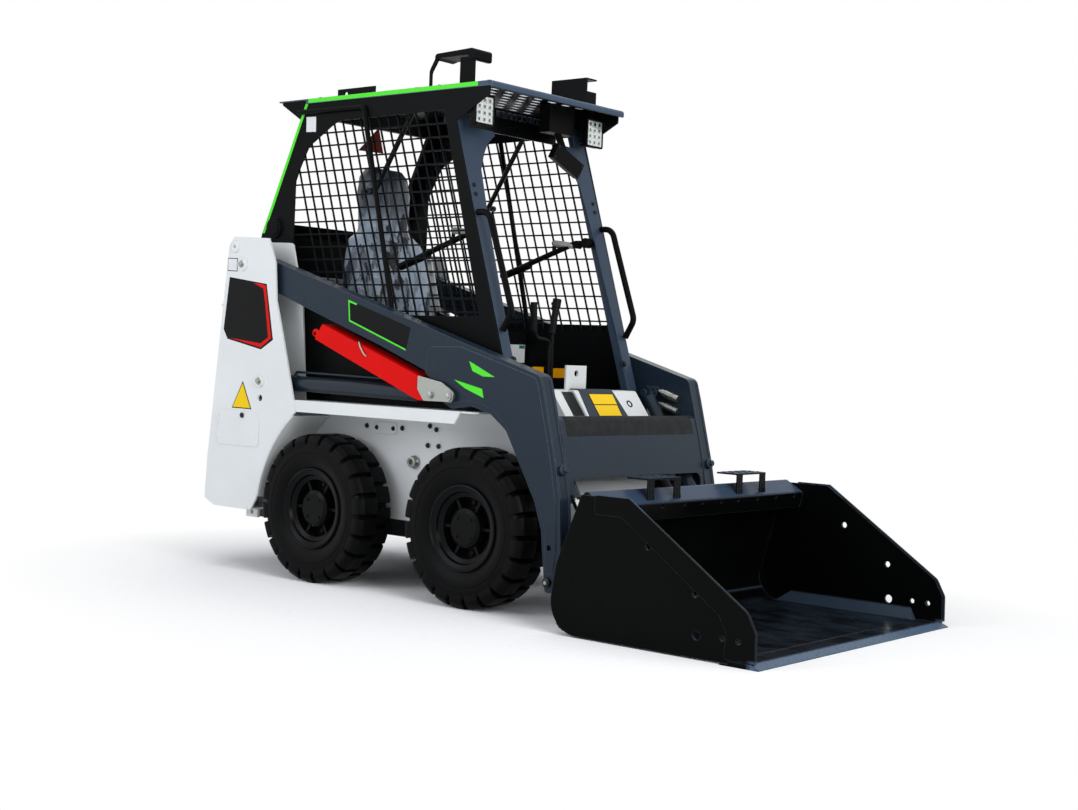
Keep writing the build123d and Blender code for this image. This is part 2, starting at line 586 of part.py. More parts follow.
# ---------------------------------------------------------------- moving covers
def tailgate():
    """Rear door between the towers, hinged on its right edge."""
    half = TOWER_IN_Y - TOWER_PLATE - 5
    axis = (REAR_X - 10, -half + 9)
    door = block(REAR_X - 12, REAR_X - 0.5, -half, half, 300, 1100)
    for low, high in HINGE_LUGS:
        door -= block(REAR_X - 13, REAR_X, -half - 1, -half + 25, low - 5, high + 5)
    door += rod_y_upright(axis, 9, HINGE_LUGS[0][1] + RUN_GAP, HINGE_LUGS[1][0] - RUN_GAP)
    door -= rod_y_upright(axis, HINGE_PIN_R + PIN_GAP, HINGE_LUGS[0][1], HINGE_LUGS[0][1] + 17)
    door -= rod_y_upright(axis, HINGE_PIN_R + PIN_GAP, HINGE_LUGS[1][0] - 17, HINGE_LUGS[1][0])
    for row in range(VENT_ROWS):
        z = VENT_FOOT_Z + VENT_PITCH * row
        for y in (-170, 170):
            door -= block(REAR_X - 13, REAR_X, y - 120, y + 120, z, z + 12)
    pull = block(REAR_X - 13, REAR_X - 7, half - 90, half - 50, 640, 760)
    return door - pull


def rod_y_upright(centre, radius, z0, z1):
    """An upright round bar at centre (x, y)."""
    x, y = centre
    return Pos(x, y, z0) * Cylinder(radius, z1 - z0, align=(Align.CENTER, Align.CENTER, Align.MIN))


def lap_bar():
    """Right restraint arm: a bent tube with its gas spring, that swings on a stub of the post."""
    y = -LAP_Y
    x, z = LAP_PIVOT
    arm = tube([(x, y, z), (x - 62, y, z), (-420, y, 1262), (-478, y, 1240)], 50, LAP_R)
    boss = rod_y(LAP_PIVOT, 20, y - 14, y + 14)
    pad = bar((-330, y, 1286.5), (-478, y, 1240), 15)
    spring = bar((-212, y, 1375), (-70, y, 1358), 9)
    spring += block(-212, -202, y - 5, y + 5, 1330, 1376)
    pin = rod_y(LAP_PIVOT, 10, -CAB_Y + CAB_PLATE + POST_W + RUN_GAP, y - 13)
    return arm + boss + pad + pin + spring


# ---------------------------------------------------------------- lift arms
def arm_outline():
    """Corners of the arm's outline in X and Z."""
    fx = FRONT_AXLE_X
    return [(-1225, 1268, 50), (-1180, 1302, 40), (fx + 316, 847, 34),
            (fx + 340, 765, 0), (fx + 401, 529, 0), (fx + 422, 427, 60),
            (fx + 434, 258, 60), (fx + 422, 160, 20), (fx + 400, 104, 16),
            (fx + 370, 104, 16), (fx + 362, 179, 0), (fx + 345, 316, 0), (fx + 308, 416, 60),
            (fx + 218, 566, 0), (fx + 167, 651, 60), (fx + 94, 703, 30), (fx - 3, 728, 0),
            (fx - 93, 712, 40), (fx - 148, 740, 30), (fx - 221, 842, 30), (-392, 932, 0),
            (-990, 1128, 0), (-1180, 1178, 60), (-1232, 1200, 40)]


def arm_side():
    """Right lift arm: two side plates round an inset front face, and a raised cheek plate."""
    fx = FRONT_AXLE_X
    arm = plate(arm_outline(), -ARM_OUT_Y, -ARM_IN_Y)
    front = plate([(fx + 250, 900, 0), (fx + 318, 847, 34), (fx + 342, 765, 0), (fx + 403, 529, 0),
                   (fx + 424, 427, 60), (fx + 436, 258, 60), (fx + 436, 200, 0), (fx + 440, 190, 0),
                   (fx + 500, 190, 0), (fx + 500, 900, 0)], -ARM_OUT_Y + 9, -ARM_IN_Y - 9)
    arm -= Pos(-6, 0, 0) * front
    cheek = plate([(fx - 232, 842, 8), (fx - 225, 912, 20), (fx - 205, 934, 20), (fx - 60, 938, 0),
                   (fx + 300, 838, 30), (fx + 322, 765, 0), (fx + 383, 529, 0), (fx + 402, 427, 50),
                   (fx + 414, 258, 50), (fx + 404, 170, 12), (fx + 372, 170, 12),
                   (fx + 362, 316, 0), (fx + 326, 416, 50), (fx + 234, 566, 0), (fx + 180, 656, 50),
                   (fx + 100, 722, 24), (fx - 3, 746, 0), (fx - 93, 734, 30), (fx - 136, 762, 24)],
                  -ARM_OUT_Y - 3, -ARM_OUT_Y + 1)
    arm += cheek
    arm += bar((fx + 396, -ARM_Y, 524), (fx + 412, -ARM_Y, 528), 19)
    arm -= rod_y(ARM_PIVOT, ARM_PIN_R + PIN_GAP, -ARM_OUT_Y - 1, -ARM_IN_Y + 1)
    arm -= rod_y(TIP_PIN, TIP_PIN_R + PIN_GAP, -ARM_OUT_Y - 4, -ARM_IN_Y + 1)
    arm -= rod_y((fx + 385, 259), 11, -ARM_OUT_Y - 4, -ARM_OUT_Y + 12)
    pocket_y = EYE_W / 2 + POCKET_GAP
    x, z = LIFT_EYE
    return arm - block(x - 95, x + 75, -ARM_Y - pocket_y, -ARM_Y + pocket_y, z - 107, z + 63)


def cross_panel():
    """Bent plate that joins the arms in front, arched over the coupler."""
    fx = FRONT_AXLE_X
    sheet_corners = [(fx + 294, 698, 0), (fx + 346, 698, 18), (fx + 365, 632, 0),
                     (fx + 396, 500, 0), (fx + 406, 440, 0), (fx + 414, 440, 0),
                     (fx + 405, 500, 0), (fx + 374, 632, 0), (fx + 352, 706, 24),
                     (fx + 294, 706, 0)]
    sheet = plate(sheet_corners, -ARM_IN_Y, ARM_IN_Y)
    window = Plane.YZ * (Pos(0, 440) * RectangleRounded(2 * ARM_IN_Y - 50, 110, 30))
    return sheet - Pos(fx, 0, 0) * extrude(window, amount=600)


def tilt_mount():
    """Right tilt cylinder's upper pin, on the arm's inner face."""
    y_end = -TILT_Y + EYE_W / 2 + 8
    pin = rod_y(TILT_BASE, 14, -ARM_IN_Y, y_end)
    boss = rod_y(TILT_BASE, 26, -ARM_IN_Y, -TILT_Y - TILT_BORE_R - 3)
    return pin + boss


def lift_arm_frame():
    """Both arms, their cross panel and the cylinder pins: one weldment."""
    frame = arm_side() + left_of(arm_side()) + cross_panel()
    frame += tilt_mount() + left_of(tilt_mount())
    return frame


def arm_brace():
    """Red lift arm stop, stowed along the right arm: a channel with turned-in edges."""
    x, z = LIFT_EYE
    out = -ARM_OUT_Y - BRACE_PROUD
    tail_low, tail_top = (-738, 947), (-699, 1006)
    nose_top, nose_low = (x - 161, z + 69), (x - 160, z - 21)
    web = plate([(tail_low[0], tail_low[1], 0), (tail_top[0], tail_top[1], 8),
                 (nose_top[0], nose_top[1], 0), (x - 132, z + 62, 8), (x - 132, z - 21, 10),
                 (nose_low[0], nose_low[1], 0)], out, out + BRACE_PLATE)
    t = BRACE_PLATE
    top = plate([(tail_top[0], tail_top[1], 0), (nose_top[0], nose_top[1], 0),
                 (nose_top[0] - 1.6, nose_top[1] - t, 0), (tail_top[0] - 1.6, tail_top[1] - t, 0)],
                out, -ARM_IN_Y)
    lip = plate([(tail_low[0], tail_low[1], 0), (nose_low[0], nose_low[1], 0),
                 (nose_low[0] + 1.8, nose_low[1] + t, 0), (tail_low[0] + 1.8, tail_low[1] + t, 0)],
                out, out + 8)
    tail = plate([(-725, 952, 0), (-706, 976, 0), (-742, 990, 14), (-762, 964, 14)], out, out + t)
    tail -= rod_y((-741, 969), 8, out - 1, out + t + 1)
    return web + top + lip + tail


def pin_plates():
    """Zinc bracket that holds the arm stop's nose and the lift pin's head, on both arms."""
    x, z = LIFT_EYE
    face = -ARM_OUT_Y - BRACE_PROUD - SEAT_GAP
    sheet = plate([(x - 158, z + 70, 6), (x - 40, z + 50, 0), (x + 4, z + 28, 20),
                   (x + 26, z + 14, 14), (x + 22, z - 22, 20), (x - 30, z - 20, 0),
                   (x - 126, z - 21, 6), (x - 158, z + 20, 0)], face - 5, face)
    sheet += plate([(x - 36, z + 46, 0), (x + 4, z + 28, 16), (x + 26, z + 12, 14),
                    (x + 22, z - 20, 18), (x - 36, z - 18, 0)], face - 9, face - 4)
    sheet += rod_y((x - 91, z + 2), 13, face - 13, face)
    sheet += rod_y(LIFT_EYE, 18, face - 14, -ARM_OUT_Y - 3 - SEAT_GAP)
    return both_sides(sheet)


def hydraulic_couplers():
    """Two quick couplers on the left arm's inner face: a stepped nipple, sleeve and nose each."""
    fx = FRONT_AXLE_X
    y = ARM_IN_Y - 15.6
    steps = ((192, 206, 8), (204, 222, 13), (220, 258, 15), (256, 264, 12), (262, 282, 14))
    parts = []
    for z in (798, 750):
        body = None
        for start, end, radius in steps:
            piece = bar((fx + start, y, z - 0.31 * (start - 190)),
                        (fx + end, y, z - 0.31 * (end - 190)), radius)
            body = piece if body is None else body + piece
        parts.append(body)
    return Compound(children=parts)


# ---------------------------------------------------------------- cylinders
def barrel(base, eye, y, bore_r, length, pin_r):
    """A cylinder barrel with its base eye, in the plane at y."""
    start = along(base, eye, pin_r + 6)
    end = along(base, eye, length)
    solid = bar((start[0], y, start[1]), (end[0], y, end[1]), bore_r)
    solid += rod_y(base, pin_r + 14, y - EYE_W / 2, y + EYE_W / 2)
    hole = rod_y(base, pin_r + PIN_GAP, y - EYE_W, y + EYE_W)
    return solid - hole


def rod(base, eye, y, rod_r, start_at, pin_r, pin_half):
    """A piston rod that ends in its eye and pin, in the plane at y.

    The linkage is opened here: the eye keeps its pin, which slides between the ears.
    """
    length = hypot(eye[0] - base[0], eye[1] - base[1])
    start = along(base, eye, start_at)
    end = along(base, eye, length - 20)
    solid = bar((start[0], y, start[1]), (end[0], y, end[1]), rod_r)
    solid += rod_y(eye, pin_r + 12, y - EYE_W / 2, y + EYE_W / 2)
    solid += rod_y(eye, pin_r, y - pin_half + SEAT_GAP, y + pin_half - SEAT_GAP)
    return solid


def bored(solid, base, eye, y, rod_r, start_at, length):
    """The barrel with the rod's hollow bored from its open end."""
    start = along(base, eye, start_at)
    end = along(base, eye, length + 5)
    return solid - bar((start[0], y, start[1]), (end[0], y, end[1]), rod_r)


def feed_line(length):
    """Steel oil line along the top of the right lift barrel, from its base to its front port."""
    y = -ARM_Y
    x, z = LIFT_BASE
    drop = (LIFT_EYE[1] - z) / (LIFT_EYE[0] - x)
    high = LIFT_BORE_R + 14
    start, end = 150.0, length - 40
    points = [(x + start, y, z + drop * start), (x + start, y, z + drop * start + high),
              (x + end, y, z + drop * end + high), (x + end, y, z + drop * end + LIFT_BORE_R - 4)]
    line = tube(points, 10, 5)
    line += bar((x + end, y, z + drop * end + LIFT_BORE_R - 6),
                (x + end, y, z + drop * end + LIFT_BORE_R + 7), 9)
    line += bar((x + start, y, z + drop * start + LIFT_BORE_R - 6),
                (x + start, y, z + drop * start + LIFT_BORE_R + 5), 8)
    return line - bar((x, y, z), (LIFT_EYE[0], y, LIFT_EYE[1]), LIFT_BORE_R - 4)


def make_cylinders():
    """Lift and tilt cylinders on both sides."""
    lift_len = 830.0
    lift = barrel(LIFT_BASE, LIFT_EYE, -ARM_Y, LIFT_BORE_R, lift_len, LIFT_PIN_R)
    lift = bored(lift, LIFT_BASE, LIFT_EYE, -ARM_Y, LIFT_ROD_R + PIN_GAP, 60, lift_len)
    lift_rod = rod(LIFT_BASE, LIFT_EYE, -ARM_Y, LIFT_ROD_R, 62, LIFT_PIN_R, EYE_W / 2 + POCKET_GAP)
    lift += feed_line(lift_len)
    tilt_len = 440.0
    tilt = barrel(TILT_BASE, TILT_EYE, -TILT_Y, TILT_BORE_R, tilt_len, TILT_PIN_R)
    tilt = bored(tilt, TILT_BASE, TILT_EYE, -TILT_Y, TILT_ROD_R + PIN_GAP, 36, tilt_len)
    tilt_rod = rod(TILT_BASE, TILT_EYE, -TILT_Y, TILT_ROD_R, 112, TILT_PIN_R, EYE_W / 2 + EYE_GAP)
    for name, solid in (("lift_barrel", lift), ("lift_rod", lift_rod), ("tilt_barrel", tilt),
                        ("tilt_rod", tilt_rod)):
        nodes[f"{name}_right"] = solid
        nodes[f"{name}_left"] = left_of(solid)


# ---------------------------------------------------------------- bucket
def bucket_shell():
    """Bucket: bent floor and back, top lip, edged side plates, corner wedges, steps and blade."""
    inner = BUCKET_Y - BUCKET_SIDE
    t = BUCKET_SHELL
    z0 = BUCKET_FLOOR_Z
    back, tip = BUCKET_BACK_X, BUCKET_TIP_X
    front = tip - 110
    shell = plate([(front, z0, 0), (back, z0, 98), (back + 133, 488, 16), (back + 221, 436, 5),
                   (back + 208, 380, 0), (back + 200, 383, 0), (back + 211, 433, 3),
                   (back + 136, 477, 8), (back + 17, z0 + t, 90), (front, z0 + t, 0)],
                  -inner, inner)
    side = plate([(back + 129, 470, 6), (back + 325, 470, 10), (tip - 51, 168, 40),
                  (tip - 20, 110, 20), (tip - 18, BLADE_T, 0), (tip - 110, BLADE_T, 0),
                  (tip - 110, z0, 0), (back, z0, 108), (back + 34, 235, 140)],
                 -BUCKET_Y, -inner)
    strip = plate([(back + 190, 474, 5), (back + 327, 474, 10), (tip - 48, 169, 40),
                   (tip - 16, 110, 20), (tip - 14, 20, 0), (tip - 128, 20, 10),
                   (tip - 118, 96, 26), (tip - 150, 150, 30), (back + 296, 412, 20),
                   (back + 190, 412, 5)], -BUCKET_Y - BUCKET_STRIP, -BUCKET_Y + 1)
    side += strip
    for x, z, radius in BUCKET_HOLES:
        side -= rod_y((back + x, z), radius, -BUCKET_Y - BUCKET_STRIP - 1, -inner + 1)
    for y in LIP_HOLES_Y:
        shell -= bar((back + 190, y, 450), (back + 240, y, 410), LIP_HOLE_R)
    wedge = Plane.YZ.offset(back + 110) * make_face(Polyline(
        (-inner, z0 + t - 1), (24 - inner, z0 + t - 1), (24 - inner, z0 + t), (6 - inner, 56),
        (-inner - 1, 56), (-inner - 1, z0 + t - 1), close=True))
    wedge = extrude(wedge, amount=620) & plate([(back + 118, z0, 0), (back + 196, 60, 0),
                                                (tip - 143, 60, 0), (tip - 116, z0, 0)],
                                               -BUCKET_Y, 30 - inner)
    side += wedge
    step = bucket_step()
    rear = tip - BLADE_L
    edge = plate([(rear, 0, 0), (tip, 0, 0), (tip, 3, 0), (tip - 30, BLADE_T, 0),
                  (tip - 110, BLADE_T, 0), (tip - 110, z0, 0), (rear, z0, 0)],
                 -BUCKET_Y - BUCKET_STRIP, BUCKET_Y + BUCKET_STRIP)
    return shell + side + left_of(side) + step + left_of(step) + edge


def bucket_step():
    """Right step, a bridge welded on the bucket's top strip."""
    x = BUCKET_BACK_X + 116
    step = block(x, x + 90, -370, -180, 514, 520)
    for y in (-370, -215):
        step += block(x + 84, x + 90, y, y + 35, 446, 515)
    return step


def coupler_frame():
    """Attachment plate behind the bucket, with ears, pins and two upright lock levers."""
    x, z = TIP_PIN
    panel = plate([(x + 126, 135, 0), (x + 134, 132, 0), (x + 240, 430, 0), (x + 232, 433, 0)],
                  -520, 520)
    solid = panel
    for y0, y1 in ((-ARM_IN_Y + 6, -ARM_IN_Y + 16), (-ARM_IN_Y + 20, -ARM_IN_Y + 27)):
        ear = plate([(x + 132, z + 8, 0), (x + 182, z + 150, 0), (x + 100, z + 70, 0),
                     (x + 2, z + 38, 30), (x - 36, z, 30), (x + 2, z - 36, 30),
                     (x + 100, z - 28, 0)], y0, y1)
        solid += ear + left_of(ear)
    pin = rod_y(TIP_PIN, TIP_PIN_R, -ARM_OUT_Y - 9, -ARM_IN_Y + 27)
    solid += pin + left_of(pin)
    x, z = TILT_EYE
    for y0, y1 in ((-TILT_Y - 29, -TILT_Y - 19), (-TILT_Y + 19, -TILT_Y + 29)):
        ear = plate([(x + 90, z - 85, 0), (x + 140, z + 60, 0), (x + 10, z + 35, 30),
                     (x - 35, z, 30), (x + 10, z - 35, 30)], y0, y1)
        solid += ear + left_of(ear)
    lever = bar((x + 138, -270, z + 58), (x + 118, -270, z + 116), 8)
    lever += bar((x + 120, -270, z + 108), (x + 116, -270, z + 124), 11)
    return solid + lever + left_of(lever)


# ---------------------------------------------------------------- assembly
def make_nodes():
    """Every node of the machine, by name."""
    nodes["chassis_tub"] = chassis_tub()
    nodes["axle_stubs"] = axle_stubs()
    nodes["fenders"] = both_sides(fender())
    nodes["towers"] = towers()
    nodes["rear_hood"] = rear_hood()
    nodes["battery_block"] = battery_block()
    nodes["cab_sides"] = both_sides(cab_side())
    mesh = cab_mesh()
    nodes["cab_mesh"] = Compound(children=mesh + [left_of(wire) for wire in mesh])
    nodes["cab_roof"] = cab_roof()
    nodes["cab_front_posts"] = both_sides(cab_front_posts())
    nodes["cab_rear_frame"] = cab_rear_frame()
    nodes["cab_floor"] = cab_floor()
    nodes["seat_cushion"] = seat_cushion()
    nodes["seat_back"] = seat_back()
    nodes["control_levers"] = control_levers()
    nodes["overhead_console"] = overhead_console()
    nodes["roof_lamps"] = both_sides(roof_lamps())
    nodes["roof_brackets"] = roof_brackets()
    nodes["grab_handles"] = grab_handles()
    nodes["front_cover"] = front_cover()
    nodes["tailgate"] = tailgate()
    nodes["lap_bar_right"] = lap_bar()
    nodes["lap_bar_left"] = left_of(lap_bar())
    nodes["lift_arm_frame"] = lift_arm_frame()
    nodes["arm_brace"] = arm_brace()
    nodes["pin_plates"] = pin_plates()
    nodes["hydraulic_couplers"] = hydraulic_couplers()
    nodes["bucket_shell"] = bucket_shell()
    nodes["coupler_frame"] = coupler_frame()
    make_wheels()
    make_cylinders()


make_nodes()
os.makedirs("parts", exist_ok=True)
for name, shape in nodes.items():
    export_step(shape, f"parts/{name}.step")
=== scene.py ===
from math import cos, pi, radians, sin

import bmesh
import bpy
from mathutils import Matrix, Vector, noise


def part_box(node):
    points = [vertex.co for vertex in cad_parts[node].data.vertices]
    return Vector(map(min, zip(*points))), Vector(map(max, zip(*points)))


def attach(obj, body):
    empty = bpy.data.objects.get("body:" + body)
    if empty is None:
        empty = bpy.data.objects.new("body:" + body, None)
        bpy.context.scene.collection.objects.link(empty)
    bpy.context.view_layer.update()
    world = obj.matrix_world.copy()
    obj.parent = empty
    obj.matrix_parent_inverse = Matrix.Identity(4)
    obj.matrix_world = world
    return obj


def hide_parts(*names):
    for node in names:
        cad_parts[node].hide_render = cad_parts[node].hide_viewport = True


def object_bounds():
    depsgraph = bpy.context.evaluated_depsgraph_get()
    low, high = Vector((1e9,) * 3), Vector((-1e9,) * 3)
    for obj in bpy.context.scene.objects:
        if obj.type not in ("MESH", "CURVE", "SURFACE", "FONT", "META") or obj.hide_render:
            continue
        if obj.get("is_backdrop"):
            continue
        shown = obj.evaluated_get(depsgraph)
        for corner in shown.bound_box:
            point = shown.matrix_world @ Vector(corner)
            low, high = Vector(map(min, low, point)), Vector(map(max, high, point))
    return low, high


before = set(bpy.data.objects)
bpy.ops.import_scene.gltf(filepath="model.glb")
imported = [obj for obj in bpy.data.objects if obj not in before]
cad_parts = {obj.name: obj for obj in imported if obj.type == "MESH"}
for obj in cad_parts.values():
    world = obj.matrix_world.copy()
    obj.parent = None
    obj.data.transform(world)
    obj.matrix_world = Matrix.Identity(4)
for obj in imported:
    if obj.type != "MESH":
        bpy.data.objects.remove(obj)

# -------------------- chassis, towers and fenders
# The base is a welded tub of folded steel plate with two towers, fender decks, a rear hood and a
# tailgate, sprayed with white two-pack paint. The axle stubs, the battery case and the tub below
# its lower weld line are black.

# The CAD box, taken before anything is added to it.
cad_low, cad_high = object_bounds()


def srgb(text):
    """Linear RGBA of a hex colour."""
    parts = [int(text[i:i + 2], 16) / 255 for i in (1, 3, 5)]
    return [c / 12.92 if c <= 0.04045 else ((c + 0.055) / 1.055) ** 2.4 for c in parts] + [1.0]


def add(tree, kind, settings=None, out=0, **sockets):
    """Adds a shader node with its settings and links, and gives one of its outputs, by number
    or name. A socket is named with _ for a space, or _N for its number."""
    made = tree.nodes.new("ShaderNode" + kind)
    for key, value in (settings or {}).items():
        setattr(made, key, value)
    for key, value in sockets.items():
        socket = made.inputs[int(key[1:]) if key[0] == "_" else key.replace("_", " ")]
        if isinstance(value, bpy.types.NodeSocket):
            tree.links.new(value, socket)
        else:
            socket.default_value = value
    return made.outputs[out] if made.outputs else None


def blank(name):
    """A new material, its empty node tree and the frame's coordinates in it."""
    material = bpy.data.materials.new(name)
    material.use_nodes = True
    tree = material.node_tree
    tree.nodes.clear()
    return material, tree, add(tree, "TexCoord", out="Object")


def laid(tree, tone, colour, share, *ranges):
    """Lays a colour over a tone, as thick as the share where every measure is in its range:
    (measure, where the colour starts, where it is full)."""
    for measure, start, full in ranges:
        within = add(tree, "MapRange", Value=measure, From_Min=start, From_Max=full)
        share = add(tree, "Math", {"operation": "MULTIPLY"}, _0=share, _1=within)
    return add(tree, "Mix", {"data_type": "RGBA"}, out=2, _0=share, _6=tone, _7=srgb(colour))


def painted(name, colour, rough=0.36, peel=0.12, grain=700.0, dust=0.25, wear="#6f7478",
            gloss=0.5, rim=None, marks=None):
    """Sprayed paint on steel plate: a cloudy tone, orange peel in the gloss, dust where plates
    meet and worn corners. Orange peel is drawn at 1.4 mm, wear at 12 mm. The rim colour is a
    painted highlight laid along plate edges, where the rounded normal turns from the face's;
    marks paints over the cloudy tone."""
    material, tree, where = blank(name)
    soft = add(tree, "Bevel", {"samples": 5}, Radius=0.0022)
    hard = add(tree, "NewGeometry", out="Normal")
    turned = add(tree, "VectorMath", {"operation": "DOT_PRODUCT"}, out="Value", _0=soft, _1=hard)
    edge = (turned, 0.995, 0.9)
    cloud = add(tree, "TexNoise", Vector=where, Scale=3.1, Detail=6.0)
    speck = add(tree, "TexNoise", Vector=where, Scale=85.0, Detail=8.0, Roughness=0.75)
    base = srgb(colour)
    darker = [c * 0.9 for c in base[:3]] + [1.0]
    paler = [min(1.0, c * 1.08 + 0.001) for c in base[:3]] + [1.0]
    tone = add(tree, "Mix", {"data_type": "RGBA"}, out=2, _0=cloud, _6=darker, _7=paler)
    if marks:
        tone = marks(tree, where, tone)
    # Painted highlight: the rim colour is laid along the plate edges.
    if rim:
        tone = laid(tree, tone, rim, 0.75, edge)
    tone = laid(tree, tone, wear, 1.0, edge, (speck, 0.58, 0.7))
    shade = add(tree, "AmbientOcclusion", {"samples": 6}, out="AO", Distance=0.07)
    tone = laid(tree, tone, "#6f6a60", dust, (shade, 0.75, 0.15), (speck, 0.0, 1.0))
    matt = add(tree, "MapRange", Value=cloud, From_Min=0.3, From_Max=0.7, To_Min=rough - 0.06,
               To_Max=rough + 0.09)
    fine = add(tree, "TexNoise", Vector=where, Scale=grain, Detail=2.0)
    bump = add(tree, "Bump", Strength=peel, Distance=0.0006, Height=fine, Normal=soft)
    coat = add(tree, "BsdfPrincipled", Base_Color=tone, Roughness=matt, Normal=bump,
               Specular_IOR_Level=gloss)
    add(tree, "OutputMaterial", Surface=coat)
    return material


def dress(material, *names):
    """Gives CAD nodes one material."""
    for name in names:
        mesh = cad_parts[name].data
        mesh.materials.clear()
        mesh.materials.append(material)


def belly_band(tree, where, tone):
    """The tub is black under its lower weld line."""
    height = add(tree, "SeparateXYZ", out="Z", _0=where)
    return laid(tree, tone, "#15171a", 1.0, (height, 0.264, 0.2632))


white_paint = painted("white_two_pack_paint", "#e9ecec", rough=0.34, dust=0.22, wear="#b4b6b4",
                      gloss=0.25)
dress(white_paint, "fenders", "towers", "tailgate", "rear_hood")
dress(painted("white_tub_paint", "#e2e5e5", dust=0.35, wear="#a6a8a6", gloss=0.25,
              marks=belly_band), "chassis_tub")
dress(painted("battery_case_paint", "#0c0d0f", rough=0.5, gloss=0.08), "battery_block")
# Its rim colour is a painted highlight on the coat's edges.
black_coat = painted("black_powder_coat", "#060708", peel=0.25, grain=900.0, dust=0.04,
                     wear="#24272a", gloss=0.05, rim="#2c333b")
dress(black_coat, "axle_stubs")

# -------------------- rims and tyres
# Steel rims sprayed gloss black carry solid rubber industrial tyres. Each tyre is one closed mesh
# turned about its axle, with round-edged shoulder lugs staggered side to side and moulded rings
# on the sidewall.

# Its edge colour, #30363c, is a painted highlight along the rims' edges.
rim_paint = painted("rim_black_paint", "#060708", rough=0.26, dust=0.04, wear="#2a2c2e",
                    gloss=0.08, rim="#30363c")


def piece(name, shape, material, body, smooth=40.0):
    """A finished object from a bmesh, riding on a body."""
    mesh = bpy.data.meshes.new(name)
    bmesh.ops.recalc_face_normals(shape, faces=shape.faces)
    shape.to_mesh(mesh)
    shape.free()
    mesh.materials.append(material)
    obj = bpy.data.objects.new(name, mesh)
    bpy.context.scene.collection.objects.link(obj)
    mesh.shade_smooth()
    mesh.set_sharp_from_angle(angle=radians(smooth))
    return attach(obj, body)


# Moulded black rubber: dull and cloudy, with dust packed between the lugs. Its grain is drawn at
# 2.4 mm.
tyre_rubber, tree, where = blank("tyre_rubber")
soft = add(tree, "Bevel", {"samples": 5}, Radius=0.003)
cloud = add(tree, "TexNoise", Vector=where, Scale=9.0, Detail=7.0)
fine = add(tree, "TexNoise", Vector=where, Scale=420.0, Detail=4.0)
tone = laid(tree, srgb("#050506"), "#0c0d0e", cloud)
shade = add(tree, "AmbientOcclusion", {"samples": 6}, out="AO", Distance=0.05)
tone = laid(tree, tone, "#4c463e", 0.07, (shade, 0.6, 0.1), (cloud, 0.0, 1.0))
matt = add(tree, "MapRange", Value=cloud, To_Min=0.3, To_Max=0.5)
bump = add(tree, "Bump", Strength=0.2, Distance=0.0008, Height=fine, Normal=soft)
skin = add(tree, "BsdfPrincipled", Base_Color=tone, Roughness=matt, Normal=bump,
           Specular_IOR_Level=0.06)
add(tree, "OutputMaterial", Surface=skin)

# A tyre's half profile over a lug and in a groove, and its sidewall, as (radius, distance from
# the tyre's middle plane). A cut is a place along a lug's pitch and how high the tread stands.
LUGS = 22
LUG_SHARE = 0.8
TREAD = [(0.252, 0.0), (0.2885, 0.0), (0.29, 0.004), (0.29, 0.03), (0.29, 0.058),
         (0.2893, 0.066), (0.2868, 0.0715), (0.279, 0.079), (0.2715, 0.0855), (0.269, 0.0868),
         (0.26, 0.0872), (0.245, 0.0872)]
GROOVE = [(0.252, 0.0), (0.26, 0.0), (0.262, 0.004), (0.262, 0.03), (0.262, 0.058),
          (0.2612, 0.066), (0.2595, 0.0715), (0.256, 0.077), (0.252, 0.0825), (0.25, 0.0846),
          (0.248, 0.0852), (0.2445, 0.0854)]
SIDEWALL = [(0.241, 0.0862), (0.236, 0.0868), (0.222, 0.0874), (0.219, 0.0874),
            (0.218, 0.0858), (0.2145, 0.0858), (0.2135, 0.0872), (0.204, 0.0872),
            (0.195, 0.0858), (0.185, 0.0833), (0.175, 0.08), (0.166, 0.0762),
            (0.158, 0.0724), (0.149, 0.0704), (0.1483, 0.064), (0.1483, 0.0)]
CUTS = [(0.0, 0.0), (0.01, 0.86), (0.03, 1.0), (0.25, 1.0), (0.43, 1.0), (0.61, 1.0),
        (0.77, 1.0), (0.79, 0.86), (LUG_SHARE, 0.0), (0.87, 0.0), (0.94, 0.0)]


def tyre_mesh(middle, outboard):
    """One tyre about a point on its axle; the outboard side's lugs lead by half a pitch."""
    shape = bmesh.new()
    for side in (-1, 1):
        columns = []
        for lug in range(LUGS):
            for share, lift in CUTS:
                turn = 0.0 if side == outboard else 0.5
                angle = 2 * pi * (lug + share + turn) / LUGS
                column = [(low + (high - low) * lift, y_low + (y - y_low) * lift)
                          for (high, y), (low, y_low) in zip(TREAD, GROOVE)]
                columns.append([shape.verts.new(middle + Vector((r * cos(angle), side * y,
                                                                 r * sin(angle))))
                                for r, y in column + SIDEWALL])
        for first, second in zip(columns, columns[1:] + columns[:1]):
            for row in range(len(first) - 1):
                shape.faces.new((first[row], second[row], second[row + 1], first[row + 1]))
    return shape


WHEELS = [(f"{row}_{side}", sign) for row in ("front", "rear")
          for side, sign in (("right", -1), ("left", 1))]
for wheel, sign in WHEELS:
    dress(rim_paint, f"rim_{wheel}")
    low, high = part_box(f"tyre_{wheel}")
    middle = (Vector(low) + Vector(high)) / 2
    tyre = piece(f"lugged_tyre_{wheel}", tyre_mesh(middle, sign), tyre_rubber, f"wheel_{wheel}",
                 35.0)
    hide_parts(f"tyre_{wheel}")

# -------------------- wheel fastenings
# Each hub cap is held by small socket screws, and the disc behind it by a ring of wheel nuts on
# their studs, all black like the rim.


def loft(shape, rings, back=True):
    """Joins rings of points by quads and closes the last, and the first if it has a back."""
    for low, high in zip(rings, rings[1:]):
        for step in range(len(low)):
            after = (step + 1) % len(low)
            shape.faces.new((low[step], low[after], high[after], high[step]))
    if back:
        shape.faces.new(rings[0][::-1])
    shape.faces.new(rings[-1])


